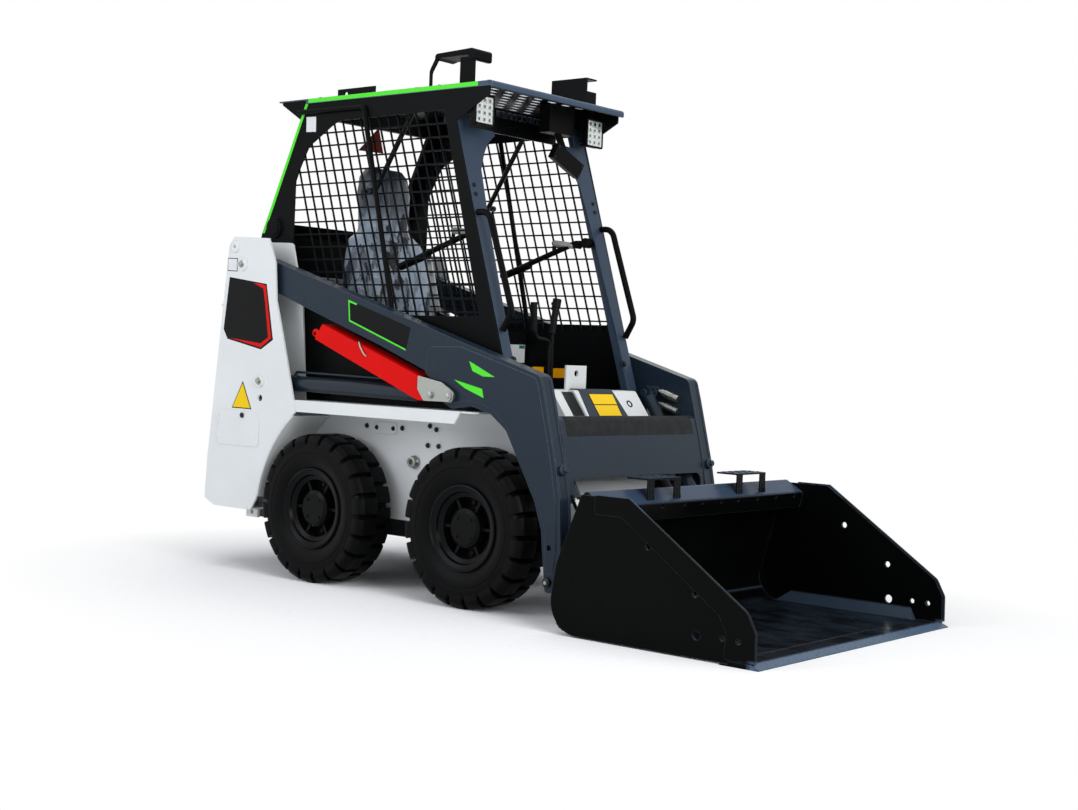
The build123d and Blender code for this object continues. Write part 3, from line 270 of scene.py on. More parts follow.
def lathe(shape, place, profile, steps=24):
    """Adds a turned form: profile is (radius, height) pairs along the place's Z axis."""
    turns = [2 * pi * step / steps for step in range(steps)]
    loft(shape, [[shape.verts.new(place @ Vector((radius * cos(turn), radius * sin(turn), height)))
                  for turn in turns] for radius, height in profile])


def facing(point, direction):
    """A place at a point whose Z axis follows a direction."""
    turn = Vector(direction).to_track_quat("Z", "Y").to_matrix().to_4x4()
    return Matrix.Translation(point) @ turn


def bolt(shape, point, direction, size=0.013):
    """Adds a hexagon bolt head on its washer, size across the flats."""
    place = facing(point, direction)
    r = size * 0.56
    lathe(shape, place, [(r * 1.5, -0.0005), (r * 1.5, size * 0.1), (r * 1.42, size * 0.13)], 20)
    lathe(shape, place, [(r, size * 0.12), (r, size * 0.55), (r * 0.86, size * 0.66)], 6)


WHEEL_Y = 0.43
for wheel, sign in WHEELS:
    low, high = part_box(f"rim_{wheel}")
    middle = (Vector(low) + Vector(high)) / 2
    middle.y = sign * WHEEL_Y
    nuts = bmesh.new()
    for step in range(4):
        angle = pi / 4 + step * pi / 2
        spot = middle + Vector((0.046 * cos(angle), sign * 0.0674, 0.046 * sin(angle)))
        lathe(nuts, facing(spot, (0, sign, 0)),
              [(0.0062, -0.0005), (0.0062, 0.0038), (0.0052, 0.0046), (0.0034, 0.0046),
               (0.003, 0.002)], 16)
    for step in range(6):
        angle = pi / 6 + step * pi / 3
        spot = middle + Vector((0.091 * cos(angle), sign * 0.0059, 0.091 * sin(angle)))
        bolt(nuts, spot, (0, sign, 0), 0.017)
    piece(f"wheel_nuts_{wheel}", nuts, rim_paint, f"wheel_{wheel}")

# -------------------- tower fittings
# Each tower's outer plate has round white bosses over the arm and cylinder pins with a greased,
# zinc-plated bolt in them, and a hatch with two hinge knuckles and a quarter-turn lock. Black
# bolts and a plated drain fitting sit on the tub's side.


def metal(name, colour, rough, brush, stretch, shift=0.9):
    """Bare or plated metal with a faint cloud and brush lines along one direction, drawn at
    2 to 3 mm so that they show."""
    material, tree, where = blank(name)
    soft = add(tree, "Bevel", {"samples": 5}, Radius=0.0012)
    lines = add(tree, "Mapping", Vector=where, Scale=stretch)
    grain = add(tree, "TexNoise", Vector=lines, Scale=brush, Detail=4.0)
    cloud = add(tree, "TexNoise", Vector=where, Scale=60.0, Detail=5.0)
    base = srgb(colour)
    dull = [c * shift * shift for c in base[:3]] + [1.0]
    tone = add(tree, "Mix", {"data_type": "RGBA"}, out=2, _0=cloud, _6=base, _7=dull)
    matt = add(tree, "MapRange", Value=grain, From_Min=0.3, From_Max=0.7, To_Min=rough * 0.7,
               To_Max=rough * 1.4)
    bump = add(tree, "Bump", Strength=0.08, Distance=0.0003, Height=grain, Normal=soft)
    skin = add(tree, "BsdfPrincipled", Base_Color=tone, Metallic=1.0, Roughness=matt, Normal=bump)
    add(tree, "OutputMaterial", Surface=skin)
    return material


zinc = metal("zinc_plated_steel", "#a6a9a4", 0.36, 300.0, (1.0, 1.0, 6.0))
dark_zinc = metal("black_zinc_bolts", "#33363a", 0.42, 300.0, (1.0, 1.0, 1.0))

REAR_AXLE_X = -0.712
BOSS_Y = 0.5112
HATCH_HINGE_X, HATCH_HINGE_Y = -1.287, 0.5075
HATCH_LOCK_Y = 0.5118
WALL_BOSS_Y = 0.315
WALL_PAD_Y = 0.314
bolts, caps, locks, rings, drain = (bmesh.new() for _ in range(5))
for sign in (-1, 1):
    out = (0, sign, 0)
    for x, z, size in ((-1.216, 1.311, 0.0), (-1.168, 1.24, 0.019), (-1.039, 0.772, 0.019)):
        lathe(rings, facing((x, sign * (BOSS_Y - 0.0003), z), out),
              [(0.0215, -0.001), (0.0215, 0.0012), (0.019, 0.0022), (0.012, 0.0022),
               (0.0112, 0.0004)], 32)
        if size:
            bolt(caps, (x, sign * BOSS_Y, z), out, size)
        else:
            lathe(caps, facing((x, sign * BOSS_Y, z), out),
                  [(0.006, -0.0005), (0.006, 0.0012), (0.004, 0.0016)], 16)
    lathe(locks, facing((-1.136, sign * HATCH_LOCK_Y, 0.63), out),
          [(0.011, -0.001), (0.011, 0.0012), (0.0098, 0.002), (0.005, 0.002),
           (0.0046, 0.0004)], 28)
    for z in (0.612, 0.545):
        lathe(rings, facing((HATCH_HINGE_X, sign * HATCH_HINGE_Y, z), (0, 0, 1)),
              [(0.0035, -0.016), (0.0045, -0.0155), (0.0045, 0.0155), (0.0035, 0.016)], 16)
    for x, z in ((0.096, 0.617), (0.29, 0.617), (0.436, 0.634), (0.47, 0.622), (0.428, 0.56),
                 (0.484, 0.56)):
        bolt(bolts, (REAR_AXLE_X + x, sign * WALL_BOSS_Y, z), out, 0.012)
    for x in (0.15, 0.24):
        bolt(bolts, (REAR_AXLE_X + x, sign * WALL_PAD_Y, 0.613), out, 0.011)
    lathe(drain, facing((-0.351, sign * 0.3149, 0.492), out),
          [(0.025, -0.001), (0.025, 0.004), (0.022, 0.007), (0.019, 0.02),
           (0.015, 0.021), (0.011, 0.0205), (0.01, 0.006)], 32)
for name, shape, material, slot in (
        ("tower_boss_rings", rings, white_paint, "white_paint"),
        ("tower_pin_bolts", caps, zinc, "zinc_plate"),
        ("chassis_bolts", bolts, dark_zinc, "black_paint"),
        ("hatch_locks", locks, dark_zinc, "black_paint"),
        ("drain_fittings", drain, zinc, "zinc_plate")):
    piece(name, shape, material, "chassis")

# -------------------- blank film panels
# Where the machine carries badges and signs there are plain pieces of die-cut vinyl film, half
# a millimetre thick and left without words: coloured shapes and frames on the right, and the
# green edge stripe on both sides.


def patch(shape, corners, out, thick=0.0005, trim=0.0006):
    """Adds a thin plate on corners in space, raised along a direction with a trimmed edge."""
    rise = Vector(out).normalized()
    points = [Vector(corner) for corner in corners]
    middle = sum(points, Vector()) / len(points)
    loft(shape, [[shape.verts.new(point - rise * 0.0002) for point in points],
                 [shape.verts.new(point + (middle - point).normalized() * trim + rise * thick)
                  for point in points]])


def on_side(shape, y, corners, thick=0.0005, trim=0.0006):
    """Adds a thin plate on a side face at y, with its corners as (x, z)."""
    patch(shape, [(x, y, z) for x, z in corners], (0, y, 0), thick, trim)


def film(name, colour, rough=0.32):
    """Calendered vinyl film: an even colour, a soft gloss and a faint ripple where it was
    rolled on. The ripple is drawn at 25 mm."""
    material, tree, where = blank(name)
    cloud = add(tree, "TexNoise", Vector=where, Scale=40.0, Detail=3.0)
    fine = add(tree, "TexNoise", Vector=where, Scale=900.0, Detail=2.0)
    base = srgb(colour)
    dull = [c * 0.93 for c in base[:3]] + [1.0]
    tone = add(tree, "Mix", {"data_type": "RGBA"}, out=2, _0=cloud, _6=dull, _7=base)
    bump = add(tree, "Bump", Strength=0.1, Distance=0.0008, Height=cloud)
    bump = add(tree, "Bump", Strength=0.06, Distance=0.0002, Height=fine, Normal=bump)
    matt = add(tree, "MapRange", Value=cloud, From_Min=0.3, From_Max=0.7, To_Min=rough - 0.05,
               To_Max=rough + 0.08)
    skin = add(tree, "BsdfPrincipled", Base_Color=tone, Roughness=matt, Normal=bump,
               Specular_IOR_Level=0.1)
    add(tree, "OutputMaterial", Surface=skin)
    return material


FILM_COLOURS = {"black": "#08090b", "red": "#e01408", "yellow": "#ffd41c", "white": "#eef0f0",
                "green": "#5cf03c"}
films = {name: film(f"{name}_vinyl_film", colour) for name, colour in FILM_COLOURS.items()}
panels = {name: bmesh.new() for name in films}

TOWER_FILM_Y = -0.5052
CAB_FILM_Y = 0.3892
ROOF_FILM_Y = 0.3935
LAYER = 0.0005
for name, layers, corners in (
        ("white", 0, ((-1.254, 1.196), (-1.012, 1.166), (-0.961, 0.936), (-1.038, 0.89),
                      (-1.254, 0.929), (-1.282, 0.974))),
        ("black", 1, ((-1.247, 1.188), (-1.018, 1.16), (-0.969, 0.938), (-1.04, 0.898),
                      (-1.249, 0.936), (-1.275, 0.976))),
        ("black", 0, ((-1.144, 0.768), (-1.207, 0.657), (-1.086, 0.656))),
        ("yellow", 1, ((-1.144, 0.759), (-1.201, 0.661), (-1.093, 0.66))),
        ("black", 0, ((-1.263, 1.266), (-1.201, 1.264), (-1.201, 1.21), (-1.262, 1.213))),
        ("white", 1, ((-1.26, 1.263), (-1.204, 1.261), (-1.204, 1.213), (-1.259, 1.216)))):
    on_side(panels[name], TOWER_FILM_Y - layers * LAYER, corners)
for strip in (((-1.1, 1.165), (-1.03, 1.157), (-1.036, 1.141)),
              ((-1.03, 1.157), (-1.022, 1.15), (-0.98, 0.944), (-0.998, 0.948),
               (-1.022, 1.08), (-1.036, 1.141)),
              ((-0.98, 0.944), (-1.041, 0.906), (-1.043, 0.922), (-0.998, 0.948)),
              ((-1.041, 0.906), (-1.236, 0.941), (-1.043, 0.922))):
    on_side(panels["red"], TOWER_FILM_Y - 2 * LAYER, strip, 0.0004, 0.0002)
on_side(panels["white"], -CAB_FILM_Y,
        ((-0.948, 1.834), (-0.892, 1.832), (-0.89, 1.772), (-0.946, 1.774)))
for sign in (-1, 1):
    on_side(panels["green"], sign * ROOF_FILM_Y,
            ((-0.028, 1.9045), (-0.937, 1.9045), (-0.937, 1.8885), (-0.028, 1.8885)))
    on_side(panels["green"], sign * CAB_FILM_Y,
            ((-0.938, 1.899), (-0.956, 1.886), (-1.193, 1.374), (-1.177, 1.374),
             (-0.944, 1.878), (-0.94, 1.885)))
for name, panel in panels.items():
    piece(f"chassis_film_{name}", panel, films[name], "chassis", 20.0)

ARM_FILM_Y = -0.4802
CHEEK_FILM_Y = -0.4832
arm_black, arm_green = bmesh.new(), bmesh.new()
on_side(arm_black, ARM_FILM_Y,
        ((-0.573, 1.102), (-0.237, 1.001), (-0.258, 0.916), (-0.565, 1.02)))
for strip in (((-0.573, 1.102), (-0.524, 1.0873), (-0.527, 1.0815), (-0.566, 1.0925)),
              ((-0.573, 1.102), (-0.566, 1.0925), (-0.559, 1.0245), (-0.565, 1.02)),
              ((-0.565, 1.02), (-0.559, 1.0245), (-0.259, 0.9225), (-0.258, 0.916))):
    on_side(arm_green, ARM_FILM_Y - LAYER, strip, 0.0004, 0.0002)
for strip in (((0.063, 0.888), (0.187, 0.835), (0.132, 0.835), (0.08, 0.853)),
              ((-0.007, 0.819), (0.129, 0.791), (0.138, 0.759), (0.046, 0.79))):
    on_side(arm_green, CHEEK_FILM_Y, strip)
piece("arm_film_black", arm_black, films["black"], "lift_arms", 20.0)
piece("arm_film_green", arm_green, films["green"], "lift_arms", 20.0)

# -------------------- nose
# The slate foot cover of pressed plate closes the nose over the white cheeks. Plain yellow film
# on a black ground lies on its slope, and a rubber plug fills the hole in the left cheek.

# Its rim colour is a painted highlight on the plate edges.
slate_paint = painted("slate_blue_paint", "#1f2c39", rough=0.28, dust=0.06, wear="#586674",
                      gloss=0.18, rim="#66798c")
dress(slate_paint, "front_cover")

slope = Vector((0.079, 0.0, -0.106)).normalized()
rise = Vector((0.106, 0.0, 0.079)).normalized()
crest = Vector((0.262, 0.0, 0.796))


def on_slope(y, down, lift):
    """A point on the nose's slope: y, distance down it and height over it."""
    return crest + slope * down + rise * lift + Vector((0, y, 0))


labels, frames = bmesh.new(), bmesh.new()
COVER_RISE = 0.0052
patch(frames, [on_slope(y, down, COVER_RISE) for y, down in
               ((-0.06, 0.018), (0.092, 0.018), (0.08, 0.12), (-0.062, 0.12))], rise)
for low_y, high_y, start, stop in ((-0.057, 0.087, 0.021, 0.066), (-0.059, 0.08, 0.07, 0.117)):
    patch(labels, [on_slope(y, down, COVER_RISE + LAYER) for y, down in
                   ((low_y, start), (high_y, start), (high_y - 0.004, stop),
                    (low_y - 0.001, stop))], rise)
piece("nose_label_frame", frames, films["black"], "chassis", 20.0)
piece("nose_label", labels, films["yellow"], "chassis", 20.0)

plug = bmesh.new()
lathe(plug, facing(on_slope(0.172, 0.06, 0.0001), rise),
      [(0.015, -0.001), (0.015, 0.0022), (0.0128, 0.003), (0.0105, 0.002),
       (0.0098, -0.0005)], 28)
piece("nose_plug", plug, tyre_rubber, "chassis")

# -------------------- cab
# The cab is a welded cage of plate and wire mesh in black powder coat, with slate front posts and
# a slate roof plate with laser-cut slots. The roof's slate is painted lighter, as painted light on
# its lip; its downward faces are near black as painted shade, and the slots' cut walls are pale as
# painted light. Blank white, teal and orange film covers the places of its signs inside.


def roof_shade_and_light(tree, where, tone):
    """Painted shade and light on the roof: faces turned down are near black as painted shade, and
    all below the plate's underside is near black; the slots' cut walls are painted pale as
    painted light.
    """
    x, y, z = add(tree, "SeparateXYZ", _0=where).node.outputs
    up = add(tree, "SeparateXYZ", out="Z", _0=add(tree, "NewGeometry", out="Normal"))
    steep = add(tree, "Math", {"operation": "ABSOLUTE"}, _0=up)
    aside = add(tree, "Math", {"operation": "ABSOLUTE"}, _0=y)
    # Painted shade: faces turned down are near black.
    tone = laid(tree, tone, "#050607", 1.0, (up, -0.5, -0.8))
    tone = laid(tree, tone, "#07080a", 1.0, (z, 1.8765, 1.8755))
    # Painted light: the slots' cut walls are pale.
    return laid(tree, tone, "#e6eaec", 1.0, (steep, 0.5, 0.3), (x, -0.375, -0.37),
                (x, -0.04, -0.045), (aside, 0.325, 0.32), (z, 1.88, 1.885))


# The roof's slate is lighter than the arms', as painted light on its lip, and its rim colour is a
# painted highlight on its edges.
dress(painted("lit_roof_slate_paint", "#3d4e64", rough=0.28, dust=0.04, wear="#5c6976", gloss=0.16,
              rim="#8196ae", marks=roof_shade_and_light), "cab_roof")
# The posts' slate is lighter than the arms'; its rim colour is a painted highlight on their edges.
dress(painted("slate_post_paint", "#354456", rough=0.32, dust=0.06, wear="#66727e", gloss=0.16,
              rim="#677788"), "cab_front_posts")
dress(black_coat, "cab_sides", "cab_mesh", "cab_rear_frame", "cab_floor", "grab_handles",
      "overhead_console", "roof_brackets")

films["teal"] = film("teal_vinyl_film", "#157a66")
films["orange"] = film("orange_vinyl_film", "#ffb20d")
for name, x, low_y, high_y, low_z, high_z in (
        ("white", -0.3998, 0.268, 0.371, 0.886, 0.96),
        ("teal", -0.3998 + LAYER, 0.334, 0.369, 0.944, 0.958),
        ("orange", -0.2997, 0.306, 0.378, 0.806, 0.872)):
    label = bmesh.new()
    patch(label, [(x, low_y, high_z), (x, high_y, high_z), (x, high_y, low_z), (x, low_y, low_z)],
          (1, 0, 0))
    if name == "orange":
        patch(label, [(-0.257, 0.3828, 0.868), (-0.188, 0.3828, 0.87), (-0.188, 0.3828, 0.831),
                      (-0.257, 0.3828, 0.829)], (0, -1, 0))
    piece(f"cab_label_{name}", label, films[name], "chassis", 20.0)

# -------------------- lap bars and gas springs
# The lap bars are bent from round steel and powder-coated black. Each has a gas spring with a
# drawn cylinder in grey enamel, rolled in at both ends.

dress(black_coat, "lap_bar_right", "lap_bar_left")
spring_enamel = painted("grey_enamel", "#a3a59f", rough=0.28, dust=0.1, wear="#7c7e7a",
                        gloss=0.3)
for side, sign in (("right", -1), ("left", 1)):
    sleeve = bmesh.new()
    lathe(sleeve, facing(Vector((-0.206, sign * 0.3, 1.3743)), (0.142, 0.0, -0.017)),
          [(0.0095, 0.0), (0.012, 0.0015), (0.0128, 0.004), (0.0128, 0.074),
           (0.0118, 0.077), (0.0118, 0.08), (0.0128, 0.083), (0.0128, 0.098),
           (0.011, 0.101), (0.0095, 0.1015)], 28)
    piece(f"gas_spring_{side}", sleeve, spring_enamel, f"lap_bar_{side}")

# -------------------- rear triangle
# A dark red reflective triangle stands inside the rear window, high up: reflex sheeting rolled
# onto a 3 mm plate.

triangle = bmesh.new()
patch(triangle, [(-0.966, 0.031, 1.848), (-1.01, -0.04, 1.748), (-1.01, 0.106, 1.752)],
      (0.9, 0, 0.4), 0.003, 0.001)
piece("rear_triangle", triangle, film("red_reflex_sheet", "#7d120c", 0.22), "chassis",
              20.0)

# -------------------- lift arms and their stop
# The arms are slate-painted box sections with zinc pin plates; a red folded stop lies on the
# right one. Rippled weld beads under the paint join the inset front plates and the cross panel to
# the sides, a grit-coated strip runs along the panel's top, and bolts lock the pins.

dress(slate_paint, "lift_arm_frame")
dress(zinc, "pin_plates")
dress(painted("red_two_pack_paint", "#e30502", rough=0.3, dust=0.05, wear="#9a2a24", gloss=0.1),
      "arm_brace")


def rod(shape, points, radius, pitch=0.0035, ripple=0.0, sides=7):
    """Adds a rod along points; with a ripple it is a weld bead's overlapping scales."""
    path = []
    spans = [(Vector(first), Vector(second)) for first, second in zip(points, points[1:])]
    for first, second in spans:
        steps = max(1, round((second - first).length / pitch))
        path += [first.lerp(second, step / steps) for step in range(steps)]
    path.append(spans[-1][1])
    turns = [2 * pi * side / sides for side in range(sides)]
    rings = []
    for step, point in enumerate(path):
        ahead = path[min(step + 1, len(path) - 1)] - path[max(step - 1, 0)]
        place = facing(point, ahead)
        r = radius * (1.0 - ripple * (step % 3) / 2)
        if ripple:
            r *= 0.92 + 0.16 * noise.noise(point * 90.0)
        rings.append([shape.verts.new(place @ Vector((r * cos(turn), r * sin(turn), 0)))
                      for turn in turns])
    loft(shape, rings)


def eased(points, radius, steps=6):
    """The points with each inner corner rounded."""
    path = [Vector(points[0])]
    for before, corner, after in zip(points, points[1:], points[2:]):
        corner = Vector(corner)
        start = corner + (Vector(before) - corner).normalized() * radius
        stop = corner + (Vector(after) - corner).normalized() * radius
        for step in range(steps + 1):
            share = step / steps
            path.append(start.lerp(corner, share).lerp(corner.lerp(stop, share), share))
    path.append(Vector(points[-1]))
    return path


FRONT_LINE = ((0.39, 0.843), (0.4145, 0.765), (0.4755, 0.529), (0.4962, 0.427), (0.508, 0.262))
PANEL_LINE = ((0.376, 0.7068), (0.412, 0.7068), (0.429, 0.6995), (0.4362, 0.689), (0.4528, 0.632),
              (0.4838, 0.5), (0.4928, 0.442))
BROW_LINE = ((0.2, 0.808), (0.276, 0.79))
FRONT_PLATE_EDGES = (0.4705, 0.4295)
PANEL_END_Y = 0.4195
BEAD_PITCH = 0.0045
beads = bmesh.new()
for sign in (-1, 1):
    for y in FRONT_PLATE_EDGES:
        rod(beads, eased([(x, sign * y, z) for x, z in FRONT_LINE], 0.012, 3), 0.0034,
            BEAD_PITCH, 0.45)
    for line, radius, ripple in ((PANEL_LINE, 0.0038, 0.45), (BROW_LINE, 0.003, 0.4)):
        rod(beads, [(x, sign * PANEL_END_Y, z) for x, z in line], radius, BEAD_PITCH, ripple)
piece("arm_welds", beads, slate_paint, "lift_arms", 60.0)

# Anti-slip strip: mineral grit in black resin, dull and sparkling unevenly where it is trodden.
# The grit is drawn at 1.6 mm.
grit_strip, tree, where = blank("grit_anti_slip_strip")
grit = add(tree, "TexVoronoi", Vector=where, Scale=620.0)
patchy = add(tree, "TexNoise", Vector=where, Scale=26.0, Detail=5.0)
tone = laid(tree, srgb("#2b2e31"), "#0b0c0d", grit)
tone = laid(tree, tone, "#3a3d40", 0.4, (patchy, 0.45, 0.75))
bump = add(tree, "Bump", Strength=0.9, Distance=0.0012, Height=grit)
skin = add(tree, "BsdfPrincipled", Base_Color=tone, Roughness=0.85, Normal=bump,
           Specular_IOR_Level=0.25)
add(tree, "OutputMaterial", Surface=skin)

# The strip starts flat on the panel's top and follows its bend down the front.
BEND_R = 0.024
BEND_TURN = radians(73.4)
bend_middle = Vector((0.412, 0.0, 0.682))
turns = [pi / 2 - BEND_TURN * step / 8 for step in range(9)]
bend = [bend_middle + BEND_R * Vector((cos(turn), 0, sin(turn))) for turn in turns]
bend = [bend[0] - Vector((0.024, 0, 0))] + bend
bend.append(bend[-1] + 0.05 * Vector((sin(turns[-1]), 0, -cos(turns[-1]))))
turns = turns[:1] + turns + turns[-1:]
strip = bmesh.new()
loft(strip, [[strip.verts.new(point + Vector((lift * cos(turn), y, lift * sin(turn))))
              for y, lift in ((-0.389, 0.0001), (-0.387, 0.0014), (0.387, 0.0014),
                              (0.389, 0.0001))] for point, turn in zip(bend, turns)])
piece("panel_grip_strip", strip, grit_strip, "lift_arms")

TIP_PIN_X, TIP_PIN_Y, TIP_PIN_Z = 0.46, 0.489, 0.14
arm_bolts, painted_bolts, pins = (bmesh.new() for _ in range(3))
for sign in (-1, 1):
    out = (0, sign, 0)
    bolt(painted_bolts, (0.4898, sign * 0.45, 0.528), (1, 0, 0.25), 0.022)
    bolt(arm_bolts, (TIP_PIN_X + 0.0025, sign * TIP_PIN_Y, TIP_PIN_Z), out, 0.014)
    lathe(pins, facing((TIP_PIN_X, sign * (TIP_PIN_Y + 0.0001), TIP_PIN_Z), out),
          [(0.0158, -0.001), (0.0158, 0.0008), (0.0145, 0.0018)], 28)
    for x, y, z in ((-0.106, 0.5074, 0.759), (-0.015, 0.5084, 0.757)):
        lathe(arm_bolts, facing((x, sign * y, z), out),
              [(0.01, -0.001), (0.01, 0.0016), (0.0085, 0.0024), (0.003, 0.0024),
               (0.0026, 0.0012)], 20)
piece("arm_front_bolts", painted_bolts, slate_paint, "lift_arms")
piece("arm_bolts", arm_bolts, zinc, "lift_arms")
piece("tip_pin_caps", pins, dark_zinc, "bucket")

clip = bmesh.new()
rod(clip, eased([(-0.5, -0.474, 0.94), (-0.489, -0.4985, 0.943), (-0.478, -0.499, 0.921),
                 (-0.456, -0.499, 0.893), (-0.449, -0.495, 0.889)], 0.008), 0.0034, 0.003)
piece("brace_clip", clip, zinc, "lift_arms", 60.0)

# -------------------- cylinders and quick couplers
# Four hydraulic cylinders: honed barrels in gloss black paint, with rods ground and hard chromed.
# Two zinc-plated quick couplers for attachments sit on the left arm's inner face.

barrel_paint = painted("cylinder_black_paint", "#1a2631", rough=0.18, peel=0.05, dust=0.04,
                       gloss=0.26)
chrome = metal("hard_chrome_rod", "#c9cdd0", 0.12, 500.0, (1.0, 8.0, 1.0), 0.97)
for side in ("right", "left"):
    dress(barrel_paint, f"lift_barrel_{side}", f"tilt_barrel_{side}")
    dress(chrome, f"lift_rod_{side}", f"tilt_rod_{side}")
dress(zinc, "hydraulic_couplers")

# -------------------- bucket
# The bucket is welded plate in gloss black, with beads along its back, floor and corner wedges,
# on a powder-coated attachment frame. Its two steps have a raised five-bar pattern of small
# lens-shaped lugs, pressed into the plate and painted over.


def bucket_scuffs_and_painted_light(tree, where, tone):
    """Scuffed floor. Painted light: the wedges' upward-sloping faces and the upward faces of the
    lip are lighter blue. Painted reflection: the blade is blue-grey in specks along its edge.
    """
    x, _, z = add(tree, "SeparateXYZ", _0=where).node.outputs
    long = add(tree, "Mapping", Vector=where, Scale=(0.8, 1.5, 1.0))
    rub = add(tree, "TexNoise", Vector=long, Scale=6.0, Detail=9.0, Roughness=0.7)
    rub = add(tree, "MapRange", Value=rub, From_Min=0.4, From_Max=0.72, To_Min=0.05, To_Max=0.55)
    speck = add(tree, "TexNoise", Vector=where, Scale=85.0, Detail=8.0, Roughness=0.75)
    speck = add(tree, "MapRange", Value=speck, From_Min=0.3, From_Max=0.52, To_Min=0.45)
    up = add(tree, "SeparateXYZ", out="Z", _0=add(tree, "NewGeometry", out="Normal"))
    floor, flat = (z, 0.03, 0.016), (up, 0.6, 0.9)
    tone = laid(tree, tone, "#36414e", rub, floor, flat)
    # Painted light: the corner wedges' upward-sloping faces are lighter blue.
    tone = laid(tree, tone, "#394757", 0.8, (up, 0.2, 0.3), (up, 0.6, 0.5),
                (z, 0.013, 0.015), (z, 0.062, 0.058))
    # Painted light: the upward faces along the top lip are lighter blue.
    tone = laid(tree, tone, "#3f5068", 0.85, (z, 0.425, 0.44), (x, 0.7, 0.71), flat)
    # Painted reflection: the blade's edge is blue-grey in specks.
    return laid(tree, tone, "#56697f", speck, (x, 1.366, 1.384), floor)


# Its rim colour is a painted highlight on the plate edges.
bucket_paint = painted("bucket_black_paint", "#040505", rough=0.24, dust=0.03, wear="#39414a",
                       gloss=0.05, rim="#46525f", marks=bucket_scuffs_and_painted_light)
dress(bucket_paint, "bucket_shell")
dress(black_coat, "coupler_frame")

SIDE_FACE_Y = 0.6222
seams = bmesh.new()
for sign in (-1, 1):
    rod(seams, eased([(0.722, sign * SIDE_FACE_Y, 0.474), (0.6025, sign * SIDE_FACE_Y, 0.015),
                      (0.704, sign * SIDE_FACE_Y, 0.0155)], 0.075, 10), 0.0042, 0.005, 0.45)
    for first, last, y, radius in (
            ((0.708, 0.0145), (1.292, 0.0145), 0.5985, 0.0036),
            ((0.781, 0.0565), (1.269, 0.0565), 0.618, 0.0032),
            ((0.722, 0.474), (0.792, 0.436), 0.6225, 0.0038)):
        rod(seams, [(x, sign * y, z) for x, z in (first, last)], radius, 0.005, 0.45)
    for y in (-0.37, -0.335, -0.215, -0.18):
        rod(seams, [(0.7895, sign * y, 0.448), (0.7895, sign * y, 0.462)], 0.003, 0.005, 0.4)
rod(seams, [(1.302, -0.6, 0.015), (1.302, 0.6, 0.015)], 0.0032, 0.006, 0.4)

# A narrow cover strip lies on the sloping top lip.
BUCKET_BACK_X = 0.584
STRIP_HALF, STRIP_WIDE = 0.612, 0.044
fall = Vector((0.088, 0.0, -0.052)).normalized()
brow = Vector((0.052, 0.0, 0.088)).normalized()
start = Vector((BUCKET_BACK_X + 0.133, 0.0, 0.488)) + fall * 0.052
lip_strip = bmesh.new()
patch(lip_strip, [start + fall * down + Vector((0, y, 0)) for down, y in
                  ((0.0, -STRIP_HALF), (0.0, STRIP_HALF), (STRIP_WIDE, STRIP_HALF),
                   (STRIP_WIDE, -STRIP_HALF))], brow, 0.0012, 0.0008)
piece("bucket_lip_strip", lip_strip, bucket_paint, "bucket")
piece("bucket_welds", seams, bucket_paint, "bucket", 60.0)


def lug(shape, place, turn):
    """Adds one lens-shaped tread lug, 18 mm long."""
    spin = place @ Matrix.Rotation(turn, 4, "Z")
    a, b, c, d, e, f = (shape.verts.new(spin @ Vector(point)) for point in
                        ((-0.009, 0, -0.0002), (0, -0.0032, -0.0002), (0.009, 0, -0.0002),
                         (0, 0.0032, -0.0002), (-0.005, 0, 0.0016), (0.005, 0, 0.0016)))
    for corners in ((a, b, e), (b, f, e), (b, c, f), (c, d, f), (d, e, f), (d, a, e),
                    (a, d, c, b)):
        shape.faces.new(corners)


STEP_TOP_Z, STEP_FRONT_X = 0.5202, 0.7902
treads = bmesh.new()
for sign in (-1, 1):
    for row in range(5):
        for column in range(9):
            place = facing((0.71 + 0.0175 * row, sign * (0.192 + 0.0205 * column), STEP_TOP_Z),
                           (0, 0, 1))
            lug(treads, place, radians(45 if (row + column) % 2 else -45))
    for y in (0.3525, 0.1975):
        for row in range(3):
            place = facing((STEP_FRONT_X, sign * y, 0.466 + 0.0185 * row), (1, 0, 0))
            lug(treads, place, radians(45 if row % 2 else -45))
piece("step_treads", treads, bucket_paint, "bucket", 20.0)

# -------------------- seat
# Black vinyl seat still in its clear wrapping film. Cushion and back are crowned forms, remeshed
# and blown up by a cloth pass; then the sewn channels are drawn in along their lines.

# The loose film over the dark vinyl breaks into tilted facets of about 50 mm, their pale colour a
# painted reflection in the film, thinner over the headrest, with a clear coat over them. The
# vinyl's grain is drawn at 1.5 mm.
seat_vinyl, tree, where = blank("vinyl_under_clear_film")
leather = add(tree, "TexVoronoi", Vector=where, Scale=650.0)
tall = add(tree, "Mapping", Vector=where, Scale=(1.0, 1.0, 0.32))
bent = add(tree, "TexNoise", out="Color", Vector=tall, Scale=7.0, Detail=5.0)
pulled = add(tree, "VectorMath", {"operation": "MULTIPLY_ADD"}, _0=bent, _1=(0.22, 0.22, 0.22),
             _2=tall)
crease = add(tree, "TexVoronoi", Vector=pulled, Scale=21.0, Detail=1.0, Roughness=0.6)
facet = add(tree, "SeparateColor", _0=crease.node.outputs["Color"])
height = add(tree, "SeparateXYZ", out="Z", _0=where)
wrap = add(tree, "MapRange", Value=height, From_Min=1.5, From_Max=1.44, To_Min=0.3)
painted_glint = add(tree, "MapRange", Value=crease, From_Min=0.1, From_Max=0.5, To_Min=0.35)
painted_glint = add(tree, "Math", {"operation": "MULTIPLY"}, _0=painted_glint, _1=wrap)
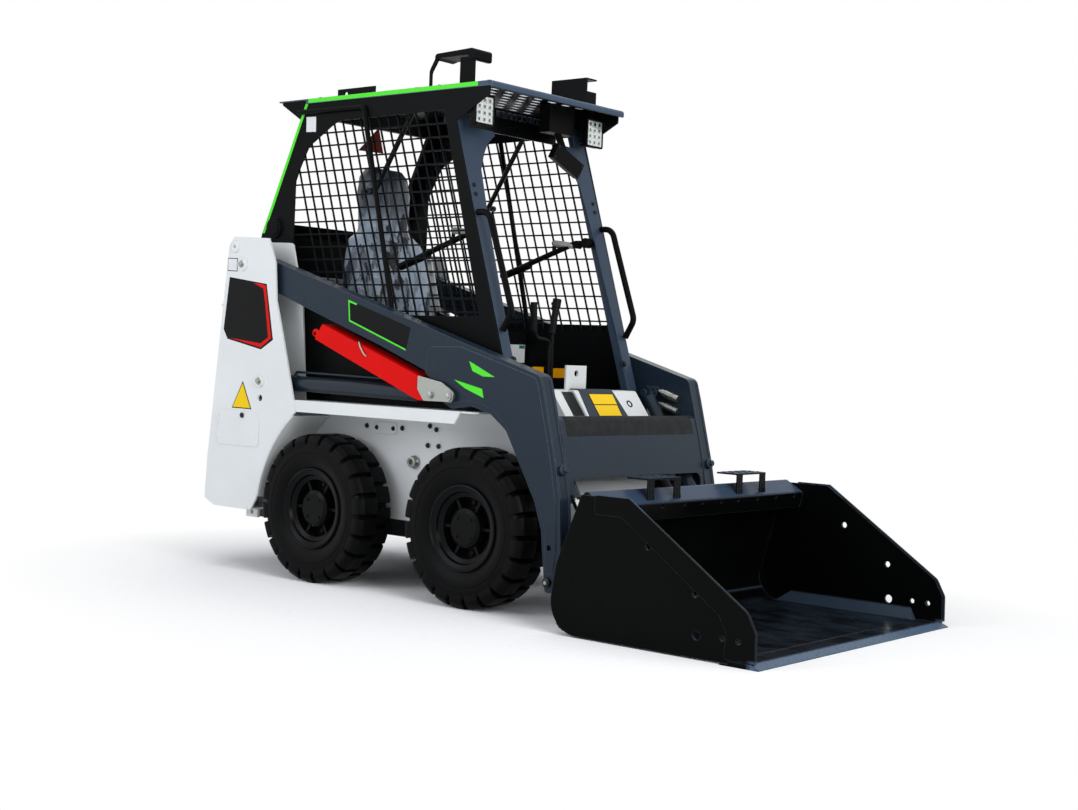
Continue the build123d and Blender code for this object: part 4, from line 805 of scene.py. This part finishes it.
# Painted reflection: pale glints of the film are laid over the dark vinyl.
tone = laid(tree, srgb("#14181d"), "#a9b9ca", painted_glint, (facet, 0.3, 1.0))
shine = add(tree, "MapRange", Value=facet, To_Min=0.42, To_Max=0.2)
grain = add(tree, "Bump", Strength=0.12, Distance=0.0006, Height=leather)
crinkle = add(tree, "Bump", Strength=0.8, Distance=0.006, Height=crease, Normal=grain)
skin = add(tree, "BsdfPrincipled", Base_Color=tone, Roughness=shine, Normal=grain,
           Specular_IOR_Level=0.2, Coat_Weight=0.35, Coat_Roughness=0.12, Coat_Normal=crinkle)
add(tree, "OutputMaterial", Surface=skin)


def settled(pad):
    """Replaces a piece's mesh by what its modifiers make of it."""
    ready = pad.evaluated_get(bpy.context.evaluated_depsgraph_get())
    made = bpy.data.meshes.new_from_object(ready)
    pad.modifiers.clear()
    pad.data = made


PAD_VOXEL, PAD_SWELL = 0.007, 0.012
COVER_PRESSURE, COVER_STEPS = 4.0, 20


def swollen(pad):
    """Blows the pad up as a filled cover; no point travels further than the swell."""
    remesh = pad.modifiers.new("remesh", "REMESH")
    remesh.mode = "VOXEL"
    remesh.voxel_size = PAD_VOXEL
    settled(pad)
    home = [vertex.co.copy() for vertex in pad.data.vertices]
    cloth = pad.modifiers.new("cover", "CLOTH")
    cloth.settings.use_pressure = True
    cloth.settings.uniform_pressure_force = COVER_PRESSURE
    cloth.settings.effector_weights.gravity = 0.0
    for step in range(1, COVER_STEPS + 1):
        bpy.context.scene.frame_set(step)
    settled(pad)
    bpy.context.scene.frame_set(1)
    for vertex, start in zip(pad.data.vertices, home):
        travel = vertex.co - start
        if travel.length > PAD_SWELL:
            vertex.co = start + travel.normalized() * PAD_SWELL


SQUARENESS, SIDES = 0.45, 28
CHANNEL_DEEP, CHANNEL_HALF = 0.0045, 0.011


def cushion(name, node, sections, channels):
    """A padded form through level sections (z share, x front, x back, half width), with sewn
    channels where a measure of a point is nought."""
    low, high = (Vector(corner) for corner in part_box(node))
    size = high - low
    shape = bmesh.new()
    rings = []
    for share, x_low, x_high, half in sections:
        ring = []
        for step in range(SIDES):
            c, s = cos(2 * pi * step / SIDES), sin(2 * pi * step / SIDES)
            u = abs(c) ** SQUARENESS * (1 if c >= 0 else -1)
            v = abs(s) ** SQUARENESS * (1 if s >= 0 else -1)
            x = low.x + size.x * ((x_low + x_high) / 2 + (x_high - x_low) / 2 * u)
            ring.append(shape.verts.new((x, size.y / 2 * half * v, low.z + size.z * share)))
        rings.append(ring)
    loft(shape, rings)
    pad = piece(name, shape, seat_vinyl, "chassis", 180.0)
    swollen(pad)
    for vertex in pad.data.vertices:
        away = min(abs(measure(vertex.co)) for measure in channels) / CHANNEL_HALF
        vertex.co -= vertex.normal * CHANNEL_DEEP * max(0.0, 1 - away) ** 1.5
    pad.data.materials.clear()
    pad.data.materials.append(seat_vinyl)
    finer = pad.modifiers.new("finer", "SUBSURF")
    finer.levels = finer.render_levels = 1
    settled(pad)
    pad.data.shade_smooth()
    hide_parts(node)


low, high = (Vector(corner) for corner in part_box("seat_cushion"))
level, across = low.z + (high.z - low.z) * 0.42, low.x + (high.x - low.x) * 0.62
cushion("seat_pad", "seat_cushion",
        [(0.04, 0.06, 0.94, 0.86), (0.25, 0.03, 0.97, 0.95), (0.6, 0.03, 0.97, 0.95),
         (0.82, 0.06, 0.94, 0.9), (0.93, 0.13, 0.86, 0.8)],
        [lambda point: point.z - level, lambda point: point.x - across,
         lambda point: abs(point.y) - 0.155])
low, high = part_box("seat_back")
waist, neck = (low[2] + (high[2] - low[2]) * share for share in (0.28, 0.64))
cushion("seat_backrest", "seat_back",
        [(0.02, 0.1, 0.54, 0.82), (0.1, 0.06, 0.62, 0.93), (0.22, 0.05, 0.86, 0.95),
         (0.4, 0.06, 0.86, 0.95), (0.52, 0.1, 0.74, 0.92), (0.6, 0.1, 0.61, 0.83),
         (0.66, 0.1, 0.52, 0.58), (0.72, 0.08, 0.53, 0.57), (0.86, 0.07, 0.51, 0.58),
         (0.94, 0.1, 0.46, 0.53), (0.985, 0.16, 0.39, 0.4)],
        [lambda point: point.z - waist, lambda point: point.z - neck,
         lambda point: abs(point.y) - 0.145 if point.z < neck else 1.0])

# -------------------- controls
# Moulded plastic lever grips and their mount, matt with a spark-eroded grain drawn at 0.5 mm, a
# rocker button on each grip, and a screen with a dark glass front under the roof.

black_plastic, tree, where = blank("moulded_black_plastic")
soft = add(tree, "Bevel", {"samples": 5}, Radius=0.002)
fine = add(tree, "TexNoise", Vector=where, Scale=1900.0, Detail=3.0)
cloud = add(tree, "TexNoise", Vector=where, Scale=14.0, Detail=4.0)
tone = laid(tree, srgb("#070809"), "#0e1011", cloud)
bump = add(tree, "Bump", Strength=0.25, Distance=0.0004, Height=fine, Normal=soft)
skin = add(tree, "BsdfPrincipled", Base_Color=tone, Roughness=0.5, Normal=bump,
           Specular_IOR_Level=0.1)
add(tree, "OutputMaterial", Surface=skin)
dress(black_plastic, "control_levers")
buttons = bmesh.new()
for y, z in ((0.067, 1.12), (-0.057, 1.103)):
    for step in (0, 1):
        lathe(buttons, facing((-0.0128, y, z - 0.019 * step), (-1, 0, 0)),
              [(0.0065, -0.002), (0.0065, 0.0016), (0.0048, 0.0028)], 18)
piece("lever_buttons", buttons, dark_zinc, "chassis")

SCREEN_MIDDLE = (-0.06, 0.175, 1.684)
screen_turn = (Matrix.Translation(SCREEN_MIDDLE) @ Matrix.Rotation(radians(12), 4, "Y")
               @ Matrix.Rotation(radians(-20), 4, "X"))
screws = bmesh.new()
for y in (-0.086, 0.086):
    for z in (-0.022, 0.022):
        place = screen_turn @ facing((0.0128, y, z), (1, 0, 0))
        lathe(screws, place, [(0.0042, -0.0005), (0.0042, 0.0014), (0.0034, 0.002),
                              (0.0016, 0.002), (0.0014, 0.001)], 14)
piece("screen_screws", screws, dark_zinc, "chassis")
pane = bmesh.new()
patch(pane, [screen_turn @ Vector((-0.0131, y, z)) for y, z in
             ((-0.082, -0.024), (0.082, -0.024), (0.082, 0.024), (-0.082, 0.024))],
      screen_turn.to_3x3() @ Vector((-1, 0, 0)), 0.0008, 0.001)
# Float glass over a switched-off display: nearly black, glossy, with finger smears.
screen_glass, tree, where = blank("dark_screen_glass")
smear = add(tree, "TexNoise", Vector=where, Scale=30.0, Detail=6.0)
matt = add(tree, "MapRange", Value=smear, From_Min=0.4, From_Max=0.7, To_Min=0.04, To_Max=0.16)
skin = add(tree, "BsdfPrincipled", Base_Color=srgb("#050607"), Roughness=matt, IOR=1.52)
add(tree, "OutputMaterial", Surface=skin)
piece("screen_glass", pane, screen_glass, "chassis", 20.0)

# -------------------- work lamps
# Square work lamps: a vacuum-metallised plate of three by four stepped reflector cells with a
# dark emitter in each, behind a clear pressed lens in the black housing.

dress(black_coat, "roof_lamps")
# Metallised plastic: bright silver with a slight haze.
reflector, tree, where = blank("metallised_reflector")
haze = add(tree, "TexNoise", Vector=where, Scale=120.0, Detail=4.0)
tone = laid(tree, srgb("#fbfcfc"), "#e4e7e7", haze)
matt = add(tree, "MapRange", Value=haze, From_Min=0.3, From_Max=0.7, To_Min=0.22, To_Max=0.38)
bump = add(tree, "Bump", Strength=0.1, Distance=0.0003, Height=haze)
skin = add(tree, "BsdfPrincipled", Base_Color=tone, Metallic=0.55, Roughness=matt, Normal=bump)
add(tree, "OutputMaterial", Surface=skin)
# Pressed glass in a thin closed plate: it lets the cells show and mirrors only at its edges.
lamp_glass, tree, where = blank("pressed_lamp_glass")
cells = add(tree, "TexNoise", Vector=where, Scale=90.0, Detail=2.0)
bump = add(tree, "Bump", Strength=0.15, Distance=0.0006, Height=cells)
clear = add(tree, "BsdfTransparent", Color=srgb("#f7f9f8"))
gloss = add(tree, "BsdfGlossy", Color=srgb("#ffffff"), Roughness=0.06, Normal=bump)
rim_light = add(tree, "LayerWeight", out="Facing", Blend=0.12)
skin = add(tree, "MixShader", _0=rim_light, _1=clear, _2=gloss)
add(tree, "OutputMaterial", Surface=skin)

LAMP_X, LAMP_Y, LAMP_Z = -0.0458, 0.331, 1.811
CELL_STEPS = ((0.0134, 0.0112, 0.0002), (0.0132, 0.011, 0.0016), (0.0122, 0.01, 0.0018),
              (0.0092, 0.0076, 0.0009), (0.006, 0.0056, 0.0004))
for side, sign in (("right", -1), ("left", 1)):
    middle = Vector((LAMP_X, sign * LAMP_Y, LAMP_Z))
    cups, emitters, cover = (bmesh.new() for _ in range(3))
    patch(cups, [middle + Vector((0, y, z)) for y, z in
                 ((-0.044, -0.049), (0.044, -0.049), (0.044, 0.049), (-0.044, 0.049))],
          (1, 0, 0), 0.0004, 0.001)
    for row in range(4):
        for column in range(3):
            cell = middle + Vector((0, (column - 1) * 0.0285, (row - 1.5) * 0.024))
            loft(cups, [[cups.verts.new(cell + Vector((high, a * half_y, b * half_z)))
                         for a, b in ((-1, -1), (1, -1), (1, 1), (-1, 1))]
                        for half_y, half_z, high in CELL_STEPS], back=False)
            lathe(emitters, facing(cell, (1, 0, 0)),
                  [(0.005, 0.0003), (0.005, 0.001), (0.003, 0.0015)], 14)
    patch(cover, [middle + Vector((0.0023, y, z)) for y, z in
                  ((-0.045, -0.048), (-0.043, -0.05), (0.043, -0.05), (0.045, -0.048),
                   (0.045, 0.048), (0.043, 0.05), (-0.043, 0.05), (-0.045, 0.048))],
          (1, 0, 0), 0.0004, 0.0008)
    piece(f"lamp_cells_{side}", cups, reflector, "chassis", 25.0)
    piece(f"lamp_emitters_{side}", emitters, black_plastic, "chassis")
    piece(f"lamp_lens_{side}", cover, lamp_glass, "chassis", 25.0)

# -------------------- beacon
# A low amber warning beacon on the roof: injection-moulded acrylic, clear and ribbed inside, on a
# black rubber foot. The ribs are drawn at 4.5 mm.

amber_acrylic, tree, where = blank("amber_acrylic")
ribs = add(tree, "TexWave", {"bands_direction": "Z"}, out="Fac", Vector=where, Scale=70.0,
           Distortion=0.6)
bump = add(tree, "Bump", Strength=0.25, Distance=0.001, Height=ribs)
tone = laid(tree, srgb("#f08a12"), "#c95a06", ribs)
skin = add(tree, "BsdfPrincipled", Base_Color=tone, Roughness=0.14, IOR=1.49,
           Transmission_Weight=0.35, Normal=bump)
add(tree, "OutputMaterial", Surface=skin)
ROOF_TOP_Z = 1.905
place = facing((-0.56, -0.15, ROOF_TOP_Z), (0, 0, 1))
dome, foot = bmesh.new(), bmesh.new()
lathe(dome, place, [(0.036, 0.015), (0.037, 0.018), (0.0365, 0.03), (0.034, 0.041),
                    (0.028, 0.049), (0.018, 0.0535), (0.006, 0.055)], 40)
lathe(foot, place, [(0.042, -0.0005), (0.0425, 0.004), (0.041, 0.012), (0.0385, 0.016)], 40)
piece("beacon_dome", dome, amber_acrylic, "chassis", 60.0)
piece("beacon_foot", foot, black_plastic, "chassis")

# -------------------- cab fastenings
# Hexagon bolts in black zinc: two high up and one low down on each front post, and three along
# each side of the roof.

POST_FOOT_X, POST_FOOT_Z = 0.16, 0.826
POST_SLANT = -318.0 / 996.0
POST_OUT = (0.953, 0, 0.304)
cab_bolts = bmesh.new()
for sign in (-1, 1):
    for z, y, size in ((1.534, 0.357, 0.011), (1.5, 0.357, 0.011), (0.899, 0.334, 0.016)):
        bolt(cab_bolts, (POST_FOOT_X + POST_SLANT * (z - POST_FOOT_Z) + 0.0049, sign * y, z),
             POST_OUT, size)
    for x in (-0.25, -0.6, -0.9):
        bolt(cab_bolts, (x, sign * 0.36, ROOF_TOP_Z), (0, 0, 1), 0.013)
piece("cab_bolts", cab_bolts, dark_zinc, "chassis")

# -------------------- stage, light and camera
# A pale studio: a large soft key from the front right and above, a cooler fill from the right
# rear, a broad light overhead, and a floor that fades to white but keeps the machine's shadow.

world = bpy.data.worlds.new("studio")
bpy.context.scene.world = world
world.use_nodes = True
tree = world.node_tree
tree.nodes.clear()


def plainly_seen(tree):
    """1 on rays that meet the white surroundings by eye, mirror or glass."""
    seen = 0.0
    for ray in ("Camera", "Transmission", "Glossy"):
        hit = add(tree, "LightPath", out=f"Is {ray} Ray")
        seen = add(tree, "Math", {"operation": "MAXIMUM"}, _0=seen, _1=hit)
    return seen


white = add(tree, "Background", Color=srgb("#ffffff"), Strength=1.0)
soft_sky = add(tree, "Background", Color=srgb("#eef2f7"), Strength=0.5)
either = add(tree, "MixShader", _0=plainly_seen(tree), _1=soft_sky, _2=white)
add(tree, "OutputWorld", Surface=either)

centre = (cad_low + cad_high) / 2


def softbox(name, place, size, power, colour):
    """A square area light aimed at the machine's middle."""
    lamp = bpy.data.lights.new(name, "AREA")
    lamp.shape = "SQUARE"
    lamp.size = size
    lamp.energy = power
    lamp.color = srgb(colour)[:3]
    lamp_object = bpy.data.objects.new(name, lamp)
    bpy.context.scene.collection.objects.link(lamp_object)
    lamp_object.location = place
    lamp_object.rotation_mode = "QUATERNION"
    lamp_object.rotation_quaternion = (centre - Vector(place)).to_track_quat("-Z", "Y")


softbox("key", (5.6, -2.2, 2.9), 3.0, 175.0, "#ffffff")
softbox("fill", (-2.5, -5.5, 3.2), 3.5, 108.0, "#f4f7ff")
softbox("top", (0.0, 0.5, 6.0), 4.0, 90.0, "#ffffff")

# Rolled white card: matt and faintly mottled near the machine, evenly white farther out.
card, tree, where = blank("studio_floor")
speck = add(tree, "TexNoise", Vector=where, Scale=40.0, Detail=3.0)
tone = laid(tree, srgb("#f4f4f4"), "#ffffff", speck)
matt = add(tree, "BsdfDiffuse", Color=tone, Roughness=0.5)
glow = add(tree, "Emission", Color=srgb("#ffffff"), Strength=1.0)
level = add(tree, "Mapping", Vector=where, Scale=(0.72, 1.0, 0.0))
reach = add(tree, "VectorMath", {"operation": "LENGTH"}, out="Value", _0=level)
reach = add(tree, "MapRange", Value=reach, From_Min=1.05, From_Max=1.75)
away = add(tree, "Math", {"operation": "MULTIPLY"}, _0=reach, _1=plainly_seen(tree))
skin = add(tree, "MixShader", _0=away, _1=matt, _2=glow)
add(tree, "OutputMaterial", Surface=skin)
FLOOR_HALF = 60
floor_mesh = bpy.data.meshes.new("floor")
floor_mesh.from_pydata([(x * FLOOR_HALF, y * FLOOR_HALF, 0.0) for x, y in
                        ((-1, -1), (1, -1), (1, 1), (-1, 1))], [], [(0, 1, 2, 3)])
floor_mesh.materials.append(card)
floor = bpy.data.objects.new("floor", floor_mesh)
bpy.context.scene.collection.objects.link(floor)
floor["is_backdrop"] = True

camera = bpy.data.cameras.new("camera")
camera.sensor_width = 36.0
camera.lens = 53.73
eye = bpy.data.objects.new("camera", camera)
bpy.context.scene.collection.objects.link(eye)
turn, tilt, roll = radians(39.561), radians(1.687), radians(2.289)
back = Vector((sin(turn) * cos(tilt), -cos(turn) * cos(tilt), sin(tilt)))
level = Vector((cos(turn), sin(turn), 0.0))
upright = back.cross(level)
right = cos(roll) * level + sin(roll) * upright
up = -sin(roll) * level + cos(roll) * upright
eye.matrix_world = (Matrix.Translation((3.9229, -4.7542, 0.91))
                    @ Matrix((right, up, back)).transposed().to_4x4())
bpy.context.scene.camera = eye
bpy.context.scene.view_settings.view_transform = "Standard"

low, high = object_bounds()
